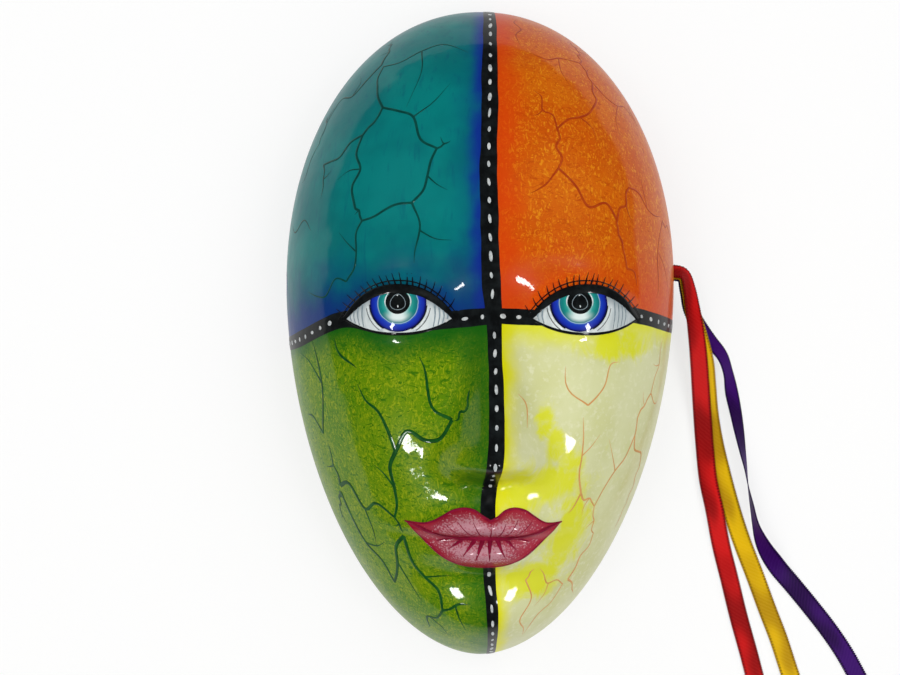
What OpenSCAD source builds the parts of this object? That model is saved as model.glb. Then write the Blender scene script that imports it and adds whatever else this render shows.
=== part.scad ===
// Painted clay face mask with three ribbon ties, lying on its back with the face up.
// Millimetres. +X is to the right of the face as seen, +Y to the forehead, +Z out of the face.
// The rim lies flat on Z = 0. The clay is one hollow shell, and each colour is a thin coat on it.

/* [Outline] */
// Width of the rim across its widest line
face_w = 136; // [100:1:180]
// Widest line to the top of the forehead
crown_len = 96; // [70:1:130]
// Widest line to the tip of the chin
chin_len = 130; // [90:1:170]
// Roundness of the forehead end, where 2 is an ellipse
crown_round = 2.08; // [1.8:0.01:2.6]
// Roundness of the chin end
chin_round = 1.87; // [1.6:0.01:2.4]

/* [Shell] */
// Depth of the dome without the nose
depth = 60; // [40:1:80]
// Fullness of the dome: more keeps the middle flat and the sides steep
fullness = 2.6; // [2:0.1:4]
// Clay thickness
wall = 5.5; // [4:0.1:8]
// Thickness of each coat of paint
coat = 0.4; // [0.3:0.05:0.8]
// Height of the coats' lower edge above the rim
hem = 1; // [0.5:0.1:3]
// How far the face lies to the right of the outline's middle
face_shift = 2.5; // [0:0.5:6]

/* [Features] */
// Height of the eye line above the outline's middle
eye_line = 5; // [-10:1:20]
// Each eye's distance from the middle of the face, as a share of the width
eye_place = 0.21; // [0.16:0.005:0.26]
// Rise of the eyeball
eye_rise = 3.6; // [1:0.1:6]
// Depth of the socket beside the nose
socket_depth = 4.5; // [0:0.1:6]
// Rise of the nose at its tip
nose_rise = 16; // [8:0.5:22]
// Rise of the two nose wings
wing_rise = 5.5; // [0:0.5:9]
// Depth of the mouth line below the outline's middle, as a share of the chin's length
mouth_place = 0.481; // [0.4:0.0005:0.58]
// How far the mouth's middle lies left of the nose's
mouth_shift = 2.7; // [0:0.1:5]
// Width of the mouth from corner to corner
mouth_w = 48; // [36:1:60]
// Rise of the lips
lip_rise = 4.6; // [1:0.1:7]
// Rise of the chin
chin_rise = 11; // [0:0.5:14]

/* [Bands] */
// Width of the black band down the nose
nose_band_w = 5.4; // [3:0.1:9]
// Width of the black band through the eyes
eye_band_w = 4.4; // [3:0.1:8]
// Rise of the left eye band at the outer corner of its eye
band_rise = 3.5; // [0:0.1:6]

/* [Eyes] */
// Half the length of an eye
eye_half_len = 17; // [12:0.5:22]
// Height of the upper eyelid's arc over the corners
lid_up = 7.4; // [5:0.1:14]
// Depth of the lower eyelid's arc under the corners
lid_down = 4.6; // [2:0.1:8]
// Radius of the iris
iris_r = 8.5; // [5:0.1:11]
// Radius of the pupil
pupil_r = 3.6; // [2:0.1:5]
// Thickness of the painted upper lid
lid_line = 2; // [1:0.1:4]
// How far the right iris is turned towards the nose
gaze = 2.4; // [0:0.1:4]
// How far the eyes' corners lie below the eye line
eye_drop = 0.7; // [0:0.1:3]

/* [Ties] */
// Diameter of each temple hole
hole_d = 7.5; // [6:0.1:10]
// Height of the right temple hole above the outline's middle
hole_y = 21; // [0:1:40]
// How much lower the left hole is, like the eye band on that side
hole_drop = 4; // [0:0.5:8]
// Height of the temple holes above the rim
hole_z = 12; // [8:0.5:20]
// Ribbon width
ribbon_w = 6.35; // [3:0.05:9]
// Ribbon thickness
ribbon_t = 0.4; // [0.3:0.05:0.8]
// Diameter of the knot inside the right temple
knot_d = 12; // [9:0.5:16]
// Length of the knot
knot_len = 9; // [6:0.5:14]
// How far inside the wall the ribbons leave the knot
knot_gap = 2.5; // [1:0.1:6]

/* [Hidden] */

// Height of the widest line, so that the outline's middle is the origin.
wide_y = (chin_len - crown_len) / 2;
// The face's forms are drawn for a mask 136 wide, 226 long and 60 deep, and follow its size.
sx = face_w / 136;
sy = (crown_len + chin_len) / 226;
sz = depth / 60;
eye_half_gap = eye_place * face_w;
mouth_line = -mouth_place * chin_len;
// The lips are drawn for a mouth 48 wide.
lip_h = mouth_w / 48;
// Places on the outline where the bands end, as angles: right, forehead, left, chin.
band_ends = [-7.7, 87.6, 189.7, 273.8];
// Grid cells beside the nose band, above the eye band and below it.
n_side = 16;
n_up = 17;
n_down = 36;
n_i = 2 * n_side + 2;
n_j = n_up + 1 + n_down;
// Half of each band, as a share of the way from the face's middle to the rim.
band_u = nose_band_w / face_w;
band_v = eye_band_w / (crown_len + chin_len);
knot_x = face_w / 2 - wall - knot_gap;

// Ribbon routes: place and lean in degrees, from the knot outward, chosen by hand.
red_route = [
    [knot_x, hole_y + 0.6, hole_z + 0.6, 45], [67.5, 21.6, 12.6, 45], [71.2, 20.5, 12.4, 46],
    [73.1, 15.6, 11.4, 39], [74.6, 8.5, 10, 27], [76.2, 0, 8.3, 15], [77.6, -9, 6.2, 8],
    [78.8, -19, 4, 3], [79.8, -28, 2.3, 0], [80.8, -39, 1.4, 0], [82.1, -52, 1.3, 0], [84.4, -63, 1.3, 0],
    [87, -76, 0.5, 0], [90, -88, 0.4, 0], [93.4, -102, 0.4, 0], [97, -115, 0.4, 0], [101, -130, 0.4, 0],
    [106.5, -147, 0.4, 0], [112.5, -165, 0.4, 0], [119, -183, 0.4, 0], [124, -197, 0.4, 0]];
yellow_route = [
    [knot_x, hole_y, hole_z, 45], [67.5, 21, 12, 45], [70.7, 19.9, 11.7, 46], [72.5, 15.1, 10.6, 40],
    [74.5, 8.3, 9, 27], [77.6, -1, 6.9, 14], [80.2, -10, 4.7, 6], [81.5, -19, 2.6, 2],
    [82.8, -29, 0.9, 0], [84.8, -40, 0.4, 0], [87.7, -52, 0.4, 0], [91, -64, 0.4, 0], [94.6, -75, 0.4, 0],
    [99.2, -87, 0.4, 0], [103.6, -99, 0.4, 0], [107.8, -110, 0.4, 0], [112.4, -124, 0.4, 0],
    [119, -142, 0.4, 0], [126, -160, 0.4, 0], [133.5, -178, 0.4, 0], [138, -188, 0.4, 0]];
purple_route = [
    [knot_x, hole_y - 0.6, hole_z - 0.6, 45], [67.5, 20.4, 11.4, 45], [70.4, 19.15, 10.85, 47],
    [72.1, 14.5, 9.5, 40], [74.3, 8.5, 7.3, 27], [78, 3, 4.4, 24], [82.6, -2.6, 2.4, 31],
    [86.9, -8, 2.5, 40], [89, -14, 2.5, 44], [90.4, -21, 1.95, 32], [91.8, -28, 2.15, 36],
    [93, -35, 2.45, 44], [94.1, -42, 2.9, 56], [95.1, -48, 3.2, 67], [95.9, -54, 3.4, 75],
    [97, -60, 3.5, 84], [98.6, -68, 3.6, 96], [101.8, -76, 2.9, 130], [106.8, -83.5, 1.4, 166],
    [112.4, -90, 0.5, 180], [119, -98, 0.4, 180], [126, -107, 0.4, 180], [132, -116, 0.4, 180],
    [138, -127, 0.4, 180], [146, -141, 0.4, 180], [154.5, -155, 0.4, 180], [163, -169, 0.4, 180],
    [170, -180, 0.4, 180]];

// A soft round bump, 1 at its middle.
function bump(x, y, cx, cy, rx, ry) = exp(-pow((x - cx) / rx, 2) - pow((y - cy) / ry, 2));
// A smooth step from 0 to 1.
function step_up(t) = let (k = min(1, max(0, t))) k * k * (3 - 2 * k);

// The nose: a ridge that grows to the tip and ends over the lip. a is the distance from its middle.
function nose(a, y) =
    let (grow = step_up((8 - y) / 46))
    (1.5 * sz + (nose_rise - 1.5 * sz) * grow) * exp(-pow(a / (5 + 4.5 * grow), 2))
    * step_up((y + 47) / 9) * step_up((16 - y) / 16);
// The broad forms, which the inside of the shell follows too.
function broad(a, y) =
    nose(a, y)
    - socket_depth * bump(a, y, 15, 9, 11, 10)
    + 2 * sz * bump(a, y, 27, 25, 22, 7)
    + 3.5 * sz * bump(a, y, 34, -28, 20, 22)
    + 4 * sz * bump(a, y, 0, -60, 26, 16)
    + chin_rise * bump(a, y, 0, -95, 26, 12.5);
// The small forms on the outside only. m is the distance from the mouth's middle.
function fine(a, m, y) =
    let (eye = eye_half_gap / sx, mouth = mouth_line / sy)
    wing_rise * bump(a, y, 11, -39, 5.5, 5.5)
    + eye_rise * pow(max(0, 1 - pow((a - eye) / 18, 2) - pow((y - 7) / 11, 2)), 1.5)
    + lip_rise * bump(m, y, 7.5, mouth + 4, 9, 3.6)
    + 0.5 * lip_rise * bump(m, y, 17, mouth + 1.5, 7, 3)
    + 1.1 * lip_rise * bump(m, y, 0, mouth - 5.3, 14, 4.4)
    - 2.2 * sz * bump(m, y, 0, mouth, 19, 1.6)
    - 1.2 * sz * bump(m, y, 0, -52, 3, 4)
    - 2 * sz * bump(m, y, 0, -77, 16, 5)
    - 1.6 * sz * bump(a, y, 6.5, -46, 3.2, 2.2);
function relief(x, y, inside) =
    let (a = abs(x - face_shift) / sx, m = abs(x - face_shift + mouth_shift) / sx, h = y / sy)
    inside ? 0.85 * broad(a, h) : broad(a, h) + fine(a, m, h);

// A point of the outline at angle a, grown by c.
function outline(a, c) =
    let (s = sin(a), k = cos(a), r = s >= 0 ? crown_round : chin_round, len = s >= 0 ? crown_len : chin_len)
    [(face_w / 2 + c) * sign(k) * pow(abs(k), 2 / r), wide_y + (len + c) * sign(s) * pow(abs(s), 2 / r)];
// Turns the grid's own angle t into an angle on the outline, so that the bands run along grid lines.
function outline_angle(t) =
    let (q = t < 0 ? t + 360 : t, k = floor(q / 90) % 4, next = k == 3 ? band_ends[0] + 360 : band_ends[k + 1])
    band_ends[k] + (next - band_ends[k]) * (q - 90 * floor(q / 90)) / 90;

// Grid lines: close together at the nose and near the rim.
function across(k) = band_u + (1 - band_u) * (k / n_side - 0.4 * sin(360 * k / n_side) / (2 * PI));
function upward(k) = band_v + (1 - band_v) * (k / n_up - 0.4 * sin(360 * k / n_up) / (2 * PI));
function downward(k) = band_v + (1 - band_v) * (0.6 * k / n_down + 0.4 * sin(90 * k / n_down));
function grid_u(i) = i > n_side + 1 ? across(i - n_side - 2) : i <= n_side ? -across(n_side - i) : 0;
function grid_v(j) = j > n_down ? upward(j - n_down - 1) : -downward(n_down - j);

// The eye bands rise to meet the outer corners of the eyes, as a share of the way to the rim.
function band_lift(u) =
    (u < 0 ? band_rise : 0.74 * band_rise) / (crown_len + 2 * eye_line)
    * step_up((abs(u) - 0.45) / 0.2) * step_up((1 - abs(u)) / 0.35);

// A point of the face at grid place i, j, grown outward by c.
function face_point(i, j, c, inside = false) =
    let (u = grid_u(i),
         v = grid_v(j) + band_lift(u) * (1 - abs(grid_v(j))),
         p = u * sqrt(1 - v * v / 2),
         q = v * sqrt(1 - u * u / 2),
         r = min(1, norm([p, q])),
         o = outline(outline_angle(atan2(q, p)), c),
         x = face_shift + r * (o[0] - face_shift),
         y = eye_line + r * (o[1] - eye_line),
         on_rim = i == 0 || j == 0 || i == n_i || j == n_j,
         rise = (depth + c) * sqrt(max(0, 1 - pow(r, fullness))) + (1 - pow(r, 5)) * relief(x, y, inside))
    [x, y, on_rim ? 0 : rise];

// The same for a coat, which ends a little above the rim.
function coat_point(i, j, c) =
    let (p = face_point(i, j, c), q = face_point(max(1, min(n_i - 1, i)), max(1, min(n_j - 1, j)), c))
    p[2] > 0 ? p : p + (q - p) * hem / q[2];

// Two triangles for a grid cell, with the diagonal running out from the face's middle.
function cell(a, b, c, d, out) = out ? [[a, d, c], [a, c, b]] : [[a, d, b], [b, d, c]];
function flip(faces) = [for (f = faces) [f[0], f[2], f[1]]];
function runs_out(i, j) = (i > n_side) == (j >= n_down);

// A skin over part of the face, between the growths c0 and c1.
module skin(i0, i1, j0, j1, c0, c1) {
    w = i1 - i0 + 1;
    h = j1 - j0 + 1;
    low = [for (j = [j0:j1]) for (i = [i0:i1]) coat_point(i, j, c0)];
    high = [for (j = [j0:j1]) for (i = [i0:i1]) coat_point(i, j, c1)];
    m = w * h;
    cells = [for (j = [0:h - 2]) for (i = [0:w - 2]) each
        cell(j * w + i, j * w + i + 1, j * w + w + i + 1, j * w + w + i, runs_out(i0 + i, j0 + j))];
    near = [for (i = [0:w - 2]) each [[i, m + i, m + i + 1], [i, m + i + 1, i + 1]]];
    far = [for (i = [0:w - 2]) let (k = m - w + i) each [[k, m + k + 1, m + k], [k, k + 1, m + k + 1]]];
    left = [for (j = [0:h - 2]) let (k = j * w) each [[k, k + w, m + k + w], [k, m + k + w, m + k]]];
    right = [for (j = [0:h - 2]) let (k = j * w + w - 1) each [[k, m + k + w, k + w], [k, m + k, m + k + w]]];
    polyhedron(
        concat(low, high),
        concat([for (f = cells) [f[0] + m, f[1] + m, f[2] + m]], flip(cells), near, far, left, right),
        convexity = 10);
}

// The hollow body: the outside on the whole grid, the inside on every second line, and a flat rim.
module body() {
    w = n_i + 1;
    v = n_i / 2 + 1;
    m = w * (n_j + 1);
    outer = [for (j = [0:n_j]) for (i = [0:n_i]) face_point(i, j, 0)];
    inner = [for (j = [0:2:n_j]) for (i = [0:2:n_i]) face_point(i, j, -wall, true)];
    front = [for (j = [0:n_j - 1]) for (i = [0:n_i - 1]) each
        cell(j * w + i, j * w + i + 1, j * w + w + i + 1, j * w + w + i, runs_out(i, j))];
    back = [for (j = [0:n_j / 2 - 1]) for (i = [0:n_i / 2 - 1]) let (k = m + j * v + i) each
        cell(k, k + 1, k + v + 1, k + v, runs_out(2 * i, 2 * j))];
    edge = concat([for (i = [0:n_i - 1]) [i, 0]], [for (j = [0:n_j - 1]) [n_i, j]],
                  [for (i = [n_i:-1:1]) [i, n_j]], [for (j = [n_j:-1:1]) [0, j]]);
    n = len(edge);
    o = [for (p = edge) p[1] * w + p[0]];
    q = [for (k = [0:2:n - 1]) m + edge[k][1] / 2 * v + edge[k][0] / 2];
    rim = [for (k = [0:n / 2 - 1]) let (e = (k + 1) % (n / 2)) each
        [[o[2 * k], o[2 * k + 1], q[k]], [o[2 * k + 1], q[e], q[k]], [o[2 * k + 1], o[(2 * k + 2) % n], q[e]]]];
    polyhedron(concat(outer, inner), concat(front, flip(back), rim), convexity = 10);
}

// A temple hole through the side wall, on the right (1) or the left (-1).
module temple_hole(side, d) {
    translate([side * 0.3 * face_w, side > 0 ? hole_y : hole_y - hole_drop, hole_z])
        rotate([0, side * 90, 0])
            cylinder(h = 0.3 * face_w, d = d, $fn = 48);
}

// The clear space of a flat outline, all the way up through the face.
module column() {
    linear_extrude(height = depth + nose_rise + 20)
        children();
}

// An eye's outline from corner to corner, with its own middle between the corners.
function eye_edge(up, n = 16) = [for (k = [-n:n]) [eye_half_len * k / n, up * (1 - pow(abs(k / n), 2.3))]];
module eye_outline(up = lid_up) {
    polygon(concat(eye_edge(up), [for (k = [31:-1:1]) eye_edge(-lid_down)[k]]));
}
module at_eye(side) {
    translate([face_shift + side * eye_half_gap, eye_line - eye_drop])
        children();
}
// First and last grid columns around an eye.
function eye_cols(side) = side > 0 ? [n_side + 4, n_i - 5] : [5, n_side - 2];
module eye_skin(side, level) {
    cols = eye_cols(side);
    intersection() {
        skin(cols[0], cols[1], n_down - 3, n_down + 7, level * coat, (level + 1) * coat);
        column()
            at_eye(side)
                children();
    }
}

// A lip's outline from its points on one side of the middle.
module lip_outline(half) {
    both = concat(half, [for (k = [len(half) - 1:-1:0]) if (half[k][0] > 0) [-half[k][0], half[k][1]]]);
    translate([face_shift - mouth_shift, mouth_line])
        polygon(both);
}
module lip_skin(half) {
    intersection() {
        skin(n_side - 8, n_side + 10, 7, 22, coat, 2 * coat);
        column()
            lip_outline(half);
    }
}
// The mouth line, from the middle to the corner.
mouth_edge = [[0, 0], [8.2, 0.4], [14.4, 1.6], [24, 4.5]] * lip_h;
// The lips' outer edges, from the corner to the middle.
upper_edge = [[20.2, 4.2], [17.3, 4.7], [13.9, 6.9], [11, 8.7], [7.7, 9.4], [4.8, 8.8], [2.4, 7.1], [0, 5.9]] * lip_h;
lower_edge = [[20.2, 0.8], [16.8, -2.6], [13, -5.8], [9.1, -7.9], [4.8, -9.1], [0, -9.4]] * lip_h;

// Ribbons: a flat strip along a smooth route.
function along(r, k, t) =
    let (a = r[max(0, k - 1)], b = r[k], c = r[k + 1], d = r[min(len(r) - 1, k + 2)])
    0.5 * (2 * b + (c - a) * t + (2 * a - 5 * b + 4 * c - d) * t * t + (3 * b - a - 3 * c + d) * t * t * t);
function route_points(r) = concat(
    [for (k = [0:len(r) - 2]) each k < 7 ? [along(r, k, 0), along(r, k, 0.5)] : [along(r, k, 0)]],
    [r[len(r) - 1]]);
function place(p) = [p[0], p[1], p[2]];
module strip(route) {
    p = route_points(route);
    n = len(p);
    ring = [for (k = [0:n - 1])
        let (run = k == 0 ? [1, 0, 0] : place(p[min(n - 1, k + 1)]) - place(p[k - 1]),
             t = run / norm(run),
             flat = cross(t, [0, 0, 1]) / norm(cross(t, [0, 0, 1])),
             up = cross(flat, t),
             s = flat * cos(p[k][3]) + up * sin(p[k][3]),
             u = up * cos(p[k][3]) - flat * sin(p[k][3]),
             slant = k == n - 1 ? t * 2 : [0, 0, 0])
        each [for (e = [[1, 1], [1, -1], [-1, -1], [-1, 1]])
            place(p[k]) + s * e[0] * ribbon_w / 2 + u * e[1] * ribbon_t / 2 + slant * e[0]]];
    sides = [for (k = [0:n - 2]) for (e = [0:3])
        let (a = 4 * k + e, b = 4 * k + (e + 1) % 4) each [[a, b, b + 4], [a, b + 4, a + 4]]];
    last = 4 * (n - 1);
    ends = [[0, 2, 1], [0, 3, 2], [last, last + 1, last + 2], [last, last + 2, last + 3]];
    polyhedron(ring, concat(sides, ends), convexity = 10);
}

module clay_shell() {
    color("#B5623C")
        difference() {
            body();
            temple_hole(1, hole_d);
            temple_hole(-1, hole_d);
        }
}
// Quarter coats stop half a millimetre short of the temple holes.
module teal_quarter() {
    color("#0A7073")
        difference() {
            skin(0, n_side, n_down + 1, n_j, 0, coat);
            temple_hole(-1, hole_d + 1);
        }
}
module orange_quarter() {
    color("#D9740F")
        difference() {
            skin(n_side + 2, n_i, n_down + 1, n_j, 0, coat);
            temple_hole(1, hole_d + 1);
        }
}
module green_quarter() {
    color("#7F9A0C")
        skin(0, n_side, 0, n_down, 0, coat);
}
module yellow_quarter() {
    color("#DAD98A")
        skin(n_side + 2, n_i, 0, n_down, 0, coat);
}
module nose_band() {
    color("#101414")
        skin(n_side, n_side + 2, 0, n_j, 0, coat);
}
module left_eye_band() {
    color("#101414")
        skin(0, n_side, n_down, n_down + 1, 0, coat);
}
module right_eye_band() {
    color("#101414")
        skin(n_side + 2, n_i, n_down, n_down + 1, 0, coat);
}
module eye_white(side) {
    color("#DDE4E6")
        eye_skin(side, 1)
            eye_outline();
}
module left_eye_white() {
    eye_white(-1);
}
module right_eye_white() {
    eye_white(1);
}
module iris(side) {
    color("#2448A8")
        eye_skin(side, 2)
            intersection() {
                eye_outline();
                translate([side > 0 ? -gaze : 0, lid_up - 0.35 * iris_r])
                    circle(r = iris_r, $fn = 40);
            }
}
module left_iris() {
    iris(-1);
}
module right_iris() {
    iris(1);
}
module pupil(side) {
    color("#08090C")
        eye_skin(side, 3)
            intersection() {
                eye_outline();
                translate([side > 0 ? -gaze : 0, lid_up - 0.3 * iris_r])
                    circle(r = pupil_r, $fn = 24);
            }
}
module left_pupil() {
    pupil(-1);
}
module right_pupil() {
    pupil(1);
}
module lid(side) {
    color("#101014")
        eye_skin(side, 1)
            difference() {
                eye_outline(lid_up + lid_line);
                eye_outline();
            }
}
module left_lid() {
    lid(-1);
}
module right_lid() {
    lid(1);
}
module upper_lip() {
    color("#B8305A")
        lip_skin(concat(mouth_edge, upper_edge));
}
module lower_lip() {
    color("#C03A62")
        lip_skin(concat([for (k = [0:3]) mouth_edge[k]], lower_edge));
}
// The ribbons' overhand knot, which can't pass the hole.
module ribbon_knot() {
    color("#7A1440")
        translate([knot_x - knot_len, hole_y, hole_z])
            rotate([0, 90, 0])
                rotate_extrude($fn = 32)
                    polygon([[0, 0], [3.6, 0], [knot_d / 2 - 0.8, knot_len * 0.15], [knot_d / 2, knot_len * 0.3],
                             [knot_d / 2 - 0.9, knot_len * 0.5], [knot_d / 2, knot_len * 0.7],
                             [knot_d / 2 - 0.8, knot_len * 0.85], [3.6, knot_len], [0, knot_len]]);
}
module red_ribbon() {
    color("#C8161D")
        strip(red_route);
}
module yellow_ribbon() {
    color("#E8B90A")
        strip(yellow_route);
}
module purple_ribbon() {
    color("#3A1466")
        strip(purple_route);
}

clay_shell();
teal_quarter();
orange_quarter();
green_quarter();
yellow_quarter();
nose_band();
left_eye_band();
right_eye_band();
left_eye_white();
right_eye_white();
left_iris();
right_iris();
left_pupil();
right_pupil();
left_lid();
right_lid();
upper_lip();
lower_lip();
ribbon_knot();
red_ribbon();
yellow_ribbon();
purple_ribbon();
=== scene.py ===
"""Painted clay face mask with ribbon ties, lying face up on a pale table."""

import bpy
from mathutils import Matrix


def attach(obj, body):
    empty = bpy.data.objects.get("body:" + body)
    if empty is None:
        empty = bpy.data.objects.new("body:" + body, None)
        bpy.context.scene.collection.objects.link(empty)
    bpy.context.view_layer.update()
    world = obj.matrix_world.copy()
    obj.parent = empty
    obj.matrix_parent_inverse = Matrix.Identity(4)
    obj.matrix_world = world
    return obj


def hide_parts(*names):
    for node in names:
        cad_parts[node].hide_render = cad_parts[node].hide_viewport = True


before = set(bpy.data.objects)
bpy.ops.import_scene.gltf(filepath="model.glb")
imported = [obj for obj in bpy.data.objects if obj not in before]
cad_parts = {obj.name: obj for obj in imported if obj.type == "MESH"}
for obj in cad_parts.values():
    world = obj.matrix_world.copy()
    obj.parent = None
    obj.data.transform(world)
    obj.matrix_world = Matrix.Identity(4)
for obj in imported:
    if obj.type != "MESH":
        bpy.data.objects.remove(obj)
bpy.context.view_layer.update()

import math
import random

import bpy
import numpy as np
from mathutils import Vector
from mathutils.geometry import delaunay_2d_cdt

# One millimetre in Blender's metres.
MM = 0.001

# Sizes in millimetres, as in the part's source.
FACE_W, CROWN, CHIN = 136.0, 96.0, 130.0
CROWN_ROUND, CHIN_ROUND = 2.08, 1.87
DEPTH, FULLNESS, WALL, COAT, HEM = 60.0, 2.6, 5.5, 0.4, 1.0
SHIFT, EYE_LINE, EYE_GAP, EYE_DROP = 2.5, 5.0, 0.21 * FACE_W, 0.7
MOUTH_X, MOUTH_LINE, MOUTH_W, LIP_RISE = SHIFT - 2.7, -0.481 * CHIN, 48.0, 4.6
EYE_LEN, LID_UP, LID_DOWN, LID_LINE, GAZE = 17.0, 7.4, 4.6, 2.0, 2.4
IRIS_R, PUPIL_R = 8.5, 3.6
IRIS_Y, PUPIL_Y = LID_UP - 0.35 * IRIS_R, LID_UP - 0.3 * IRIS_R
HOLE_D, HOLE_Y, HOLE_Z, HOLE_DROP = 7.5, 21.0, 12.0, 4.0
# Where the drill that cuts a temple hole is set across, and its length.
DRILL_X, DRILL_LEN = 60, 40
RIBBON_W, KNOT_LEN, KNOT_GAP = 6.35, 9.0, 2.5
KNOT_X = FACE_W / 2 - WALL - KNOT_GAP
WIDE_Y = (CHIN - CROWN) / 2
# Between the clay and a colour coat, and under the paint of the eyes and lips.
COAT_GAP, PAINT_FOOT = 0.02, 0.05
# How far the eye white runs on under the lid line.
LID_LAP = 0.6
# Where the bands end on the rim, in degrees: right, top, left and bottom.
BAND_ENDS = (-7.7, 87.6, 189.7, 273.8)
BAND_RISE, BAND_SPAN = 3.5, CROWN + 2 * EYE_LINE

# Soft swells of the face: rise, then middle across and up, then reach across and up.
BROAD_SWELLS = ((-4.5, 15, 9, 11, 10),  # hollow beside the nose
                (2, 27, 25, 22, 7),  # brow
                (3.5, 34, -28, 20, 22),  # cheek
                (4, 0, -60, 26, 16),  # mound of the mouth
                (11, 0, -95, 26, 12.5))  # chin
NOSE_SWELLS = ((5.5, 11, -39, 5.5, 5.5),  # wing
               (-1.6, 6.5, -46, 3.2, 2.2))  # nostril
MOUTH_SWELLS = ((LIP_RISE, 7.5, MOUTH_LINE + 4, 9, 3.6),  # bow of the upper lip
                (0.5 * LIP_RISE, 17, MOUTH_LINE + 1.5, 7, 3),  # corner
                (1.1 * LIP_RISE, 0, MOUTH_LINE - 5.3, 14, 4.4),  # lower lip
                (-2.2, 0, MOUTH_LINE, 19, 1.6),  # mouth line
                (-1.2, 0, -52, 3, 4),  # groove under the nose
                (-2, 0, -77, 16, 5))  # hollow over the chin

# The four colour fields: name, side across and side up.
FIELDS = (("teal", -1, 1), ("orange", 1, 1), ("green", -1, -1), ("yellow", 1, -1))


def linear(code):
    """An sRGB hex colour as linear RGBA."""
    parts = [int(code[k:k + 2], 16) / 255 for k in (1, 3, 5)]
    return tuple(c / 12.92 if c <= 0.04045 else ((c + 0.055) / 1.055) ** 2.4 for c in parts) + (1.0,)


def add(tree, kind, links=None, **settings):
    """Adds a node. settings are its properties, and links gives its inputs.

    An input gets a value, another node's output, or a node, which stands for its first output.
    """
    node = tree.nodes.new(kind)
    for key, value in settings.items():
        setattr(node, key, value)
    for key, value in (links or {}).items():
        if isinstance(value, bpy.types.Node):
            value = value.outputs[0]
        if isinstance(value, bpy.types.NodeSocket):
            tree.links.new(value, node.inputs[key])
        else:
            node.inputs[key].default_value = value
    return node


# The face's form.


def bump(x, y, cx, cy, rx, ry):
    """A round swell of height 1."""
    return np.exp(-((x - cx) / rx) ** 2 - ((y - cy) / ry) ** 2)


def swells(table, x, y):
    """The sum of a table's swells."""
    return sum(rise * bump(x, y, *place) for rise, *place in table)


def step_up(t):
    """A smooth step from 0 to 1."""
    t = np.clip(t, 0, 1)
    return t * t * (3 - 2 * t)


def ease(t):
    """A step from 0 to 1 whose bend is smooth too, so that no crease shows in the gloss."""
    t = np.clip(t, 0, 1)
    return t ** 3 * (t * (6 * t - 15) + 10)


def lid_edge(t, up):
    """Height of a lid's edge along the eye, with t from -1 to 1."""
    return up * (1 - np.abs(t) ** 2.3)


def lid_ridge(a, y):
    """The soft fold over each eye."""
    t = np.clip((a - EYE_GAP) / (EYE_LEN + 2), -1, 1)
    middle = EYE_LINE - EYE_DROP + lid_edge(t, LID_UP + LID_LINE + 0.6)
    return 0.9 * np.exp(-((y - middle) / 1.7) ** 2) * (1 - t ** 4)


def relief(x, y, inside=False):
    """Rise of the features over the plain dome."""
    a = np.abs(x - SHIFT)
    grow = step_up((8 - y) / 46)
    nose = (1.5 + 14.5 * grow) * np.exp(-(a / (5 + 4.5 * grow)) ** 2)
    nose = nose * ease((y + 48 - 0.015 * np.minimum(a, 16) ** 2) / 10.5) * step_up((16 - y) / 16)
    broad = nose + swells(BROAD_SWELLS, a, y)
    if inside:
        return 0.85 * broad
    ball = np.maximum(0, 1 - ((a - EYE_GAP) / 18) ** 2 - ((y - 7) / 11) ** 2) ** 1.5
    fine = swells(NOSE_SWELLS, a, y) + swells(MOUTH_SWELLS, np.abs(x - MOUTH_X), y)
    return broad + fine + 3.6 * ball + lid_ridge(a, y)


def outline(angle, grow):
    """A point of the rim at an angle in radians, grown outward."""
    s, k = np.sin(angle), np.cos(angle)
    power = 2 / np.where(s >= 0, CROWN_ROUND, CHIN_ROUND)
    reach = np.where(s >= 0, CROWN, CHIN) + grow
    return ((FACE_W / 2 + grow) * np.sign(k) * np.abs(k) ** power,
            WIDE_Y + reach * np.sign(s) * np.abs(s) ** power)


def dome(x, y, share, grow, inside):
    """Height of the face, where share runs from 0 in the middle to 1 on the rim."""
    rise = (DEPTH + grow) * np.sqrt(np.maximum(0, 1 - share ** FULLNESS))
    return rise + np.maximum(0, 1 - share ** 5) * relief(x, y, inside)


def face_grid(u, v, grow, inside=False):
    """Points of the face at grid places u across and v up, each from -1 to 1."""
    rise = np.where(u < 0, BAND_RISE, 0.74 * BAND_RISE) / BAND_SPAN * step_up((np.abs(u) - 0.45) / 0.2)
    v = v + rise * step_up((1 - np.abs(u)) / 0.35) * (1 - np.abs(v))
    p, q = u * np.sqrt(1 - v * v / 2), v * np.sqrt(1 - u * u / 2)
    share = np.minimum(1, np.hypot(p, q))
    turn = np.degrees(np.arctan2(q, p)) % 360
    ends = list(BAND_ENDS) + [BAND_ENDS[0] + 360]
    ox, oy = outline(np.radians(np.interp(turn, [0, 90, 180, 270, 360], ends)), grow)
    x, y = SHIFT + share * (ox - SHIFT), EYE_LINE + share * (oy - EYE_LINE)
    return np.stack([x, y, dome(x, y, share, grow, inside)], axis=-1)


RIM_ANGLES = np.linspace(-math.pi, math.pi, 2881)


def over_face(x, y, grow):
    """Points of the face straight over plan places x, y."""
    ox, oy = outline(RIM_ANGLES, grow)
    heading = np.unwrap(np.arctan2(oy - EYE_LINE, ox - SHIFT))
    reach = np.hypot(ox - SHIFT, oy - EYE_LINE)
    way = np.arctan2(y - EYE_LINE, x - SHIFT)
    way = np.where(way < heading[0], way + 2 * math.pi, way)
    way = np.where(way > heading[-1], way - 2 * math.pi, way)
    share = np.hypot(x - SHIFT, y - EYE_LINE) / np.interp(way, heading, reach)
    return np.stack([x, y, dome(x, y, np.minimum(1, share), grow, False)], axis=-1)


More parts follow.
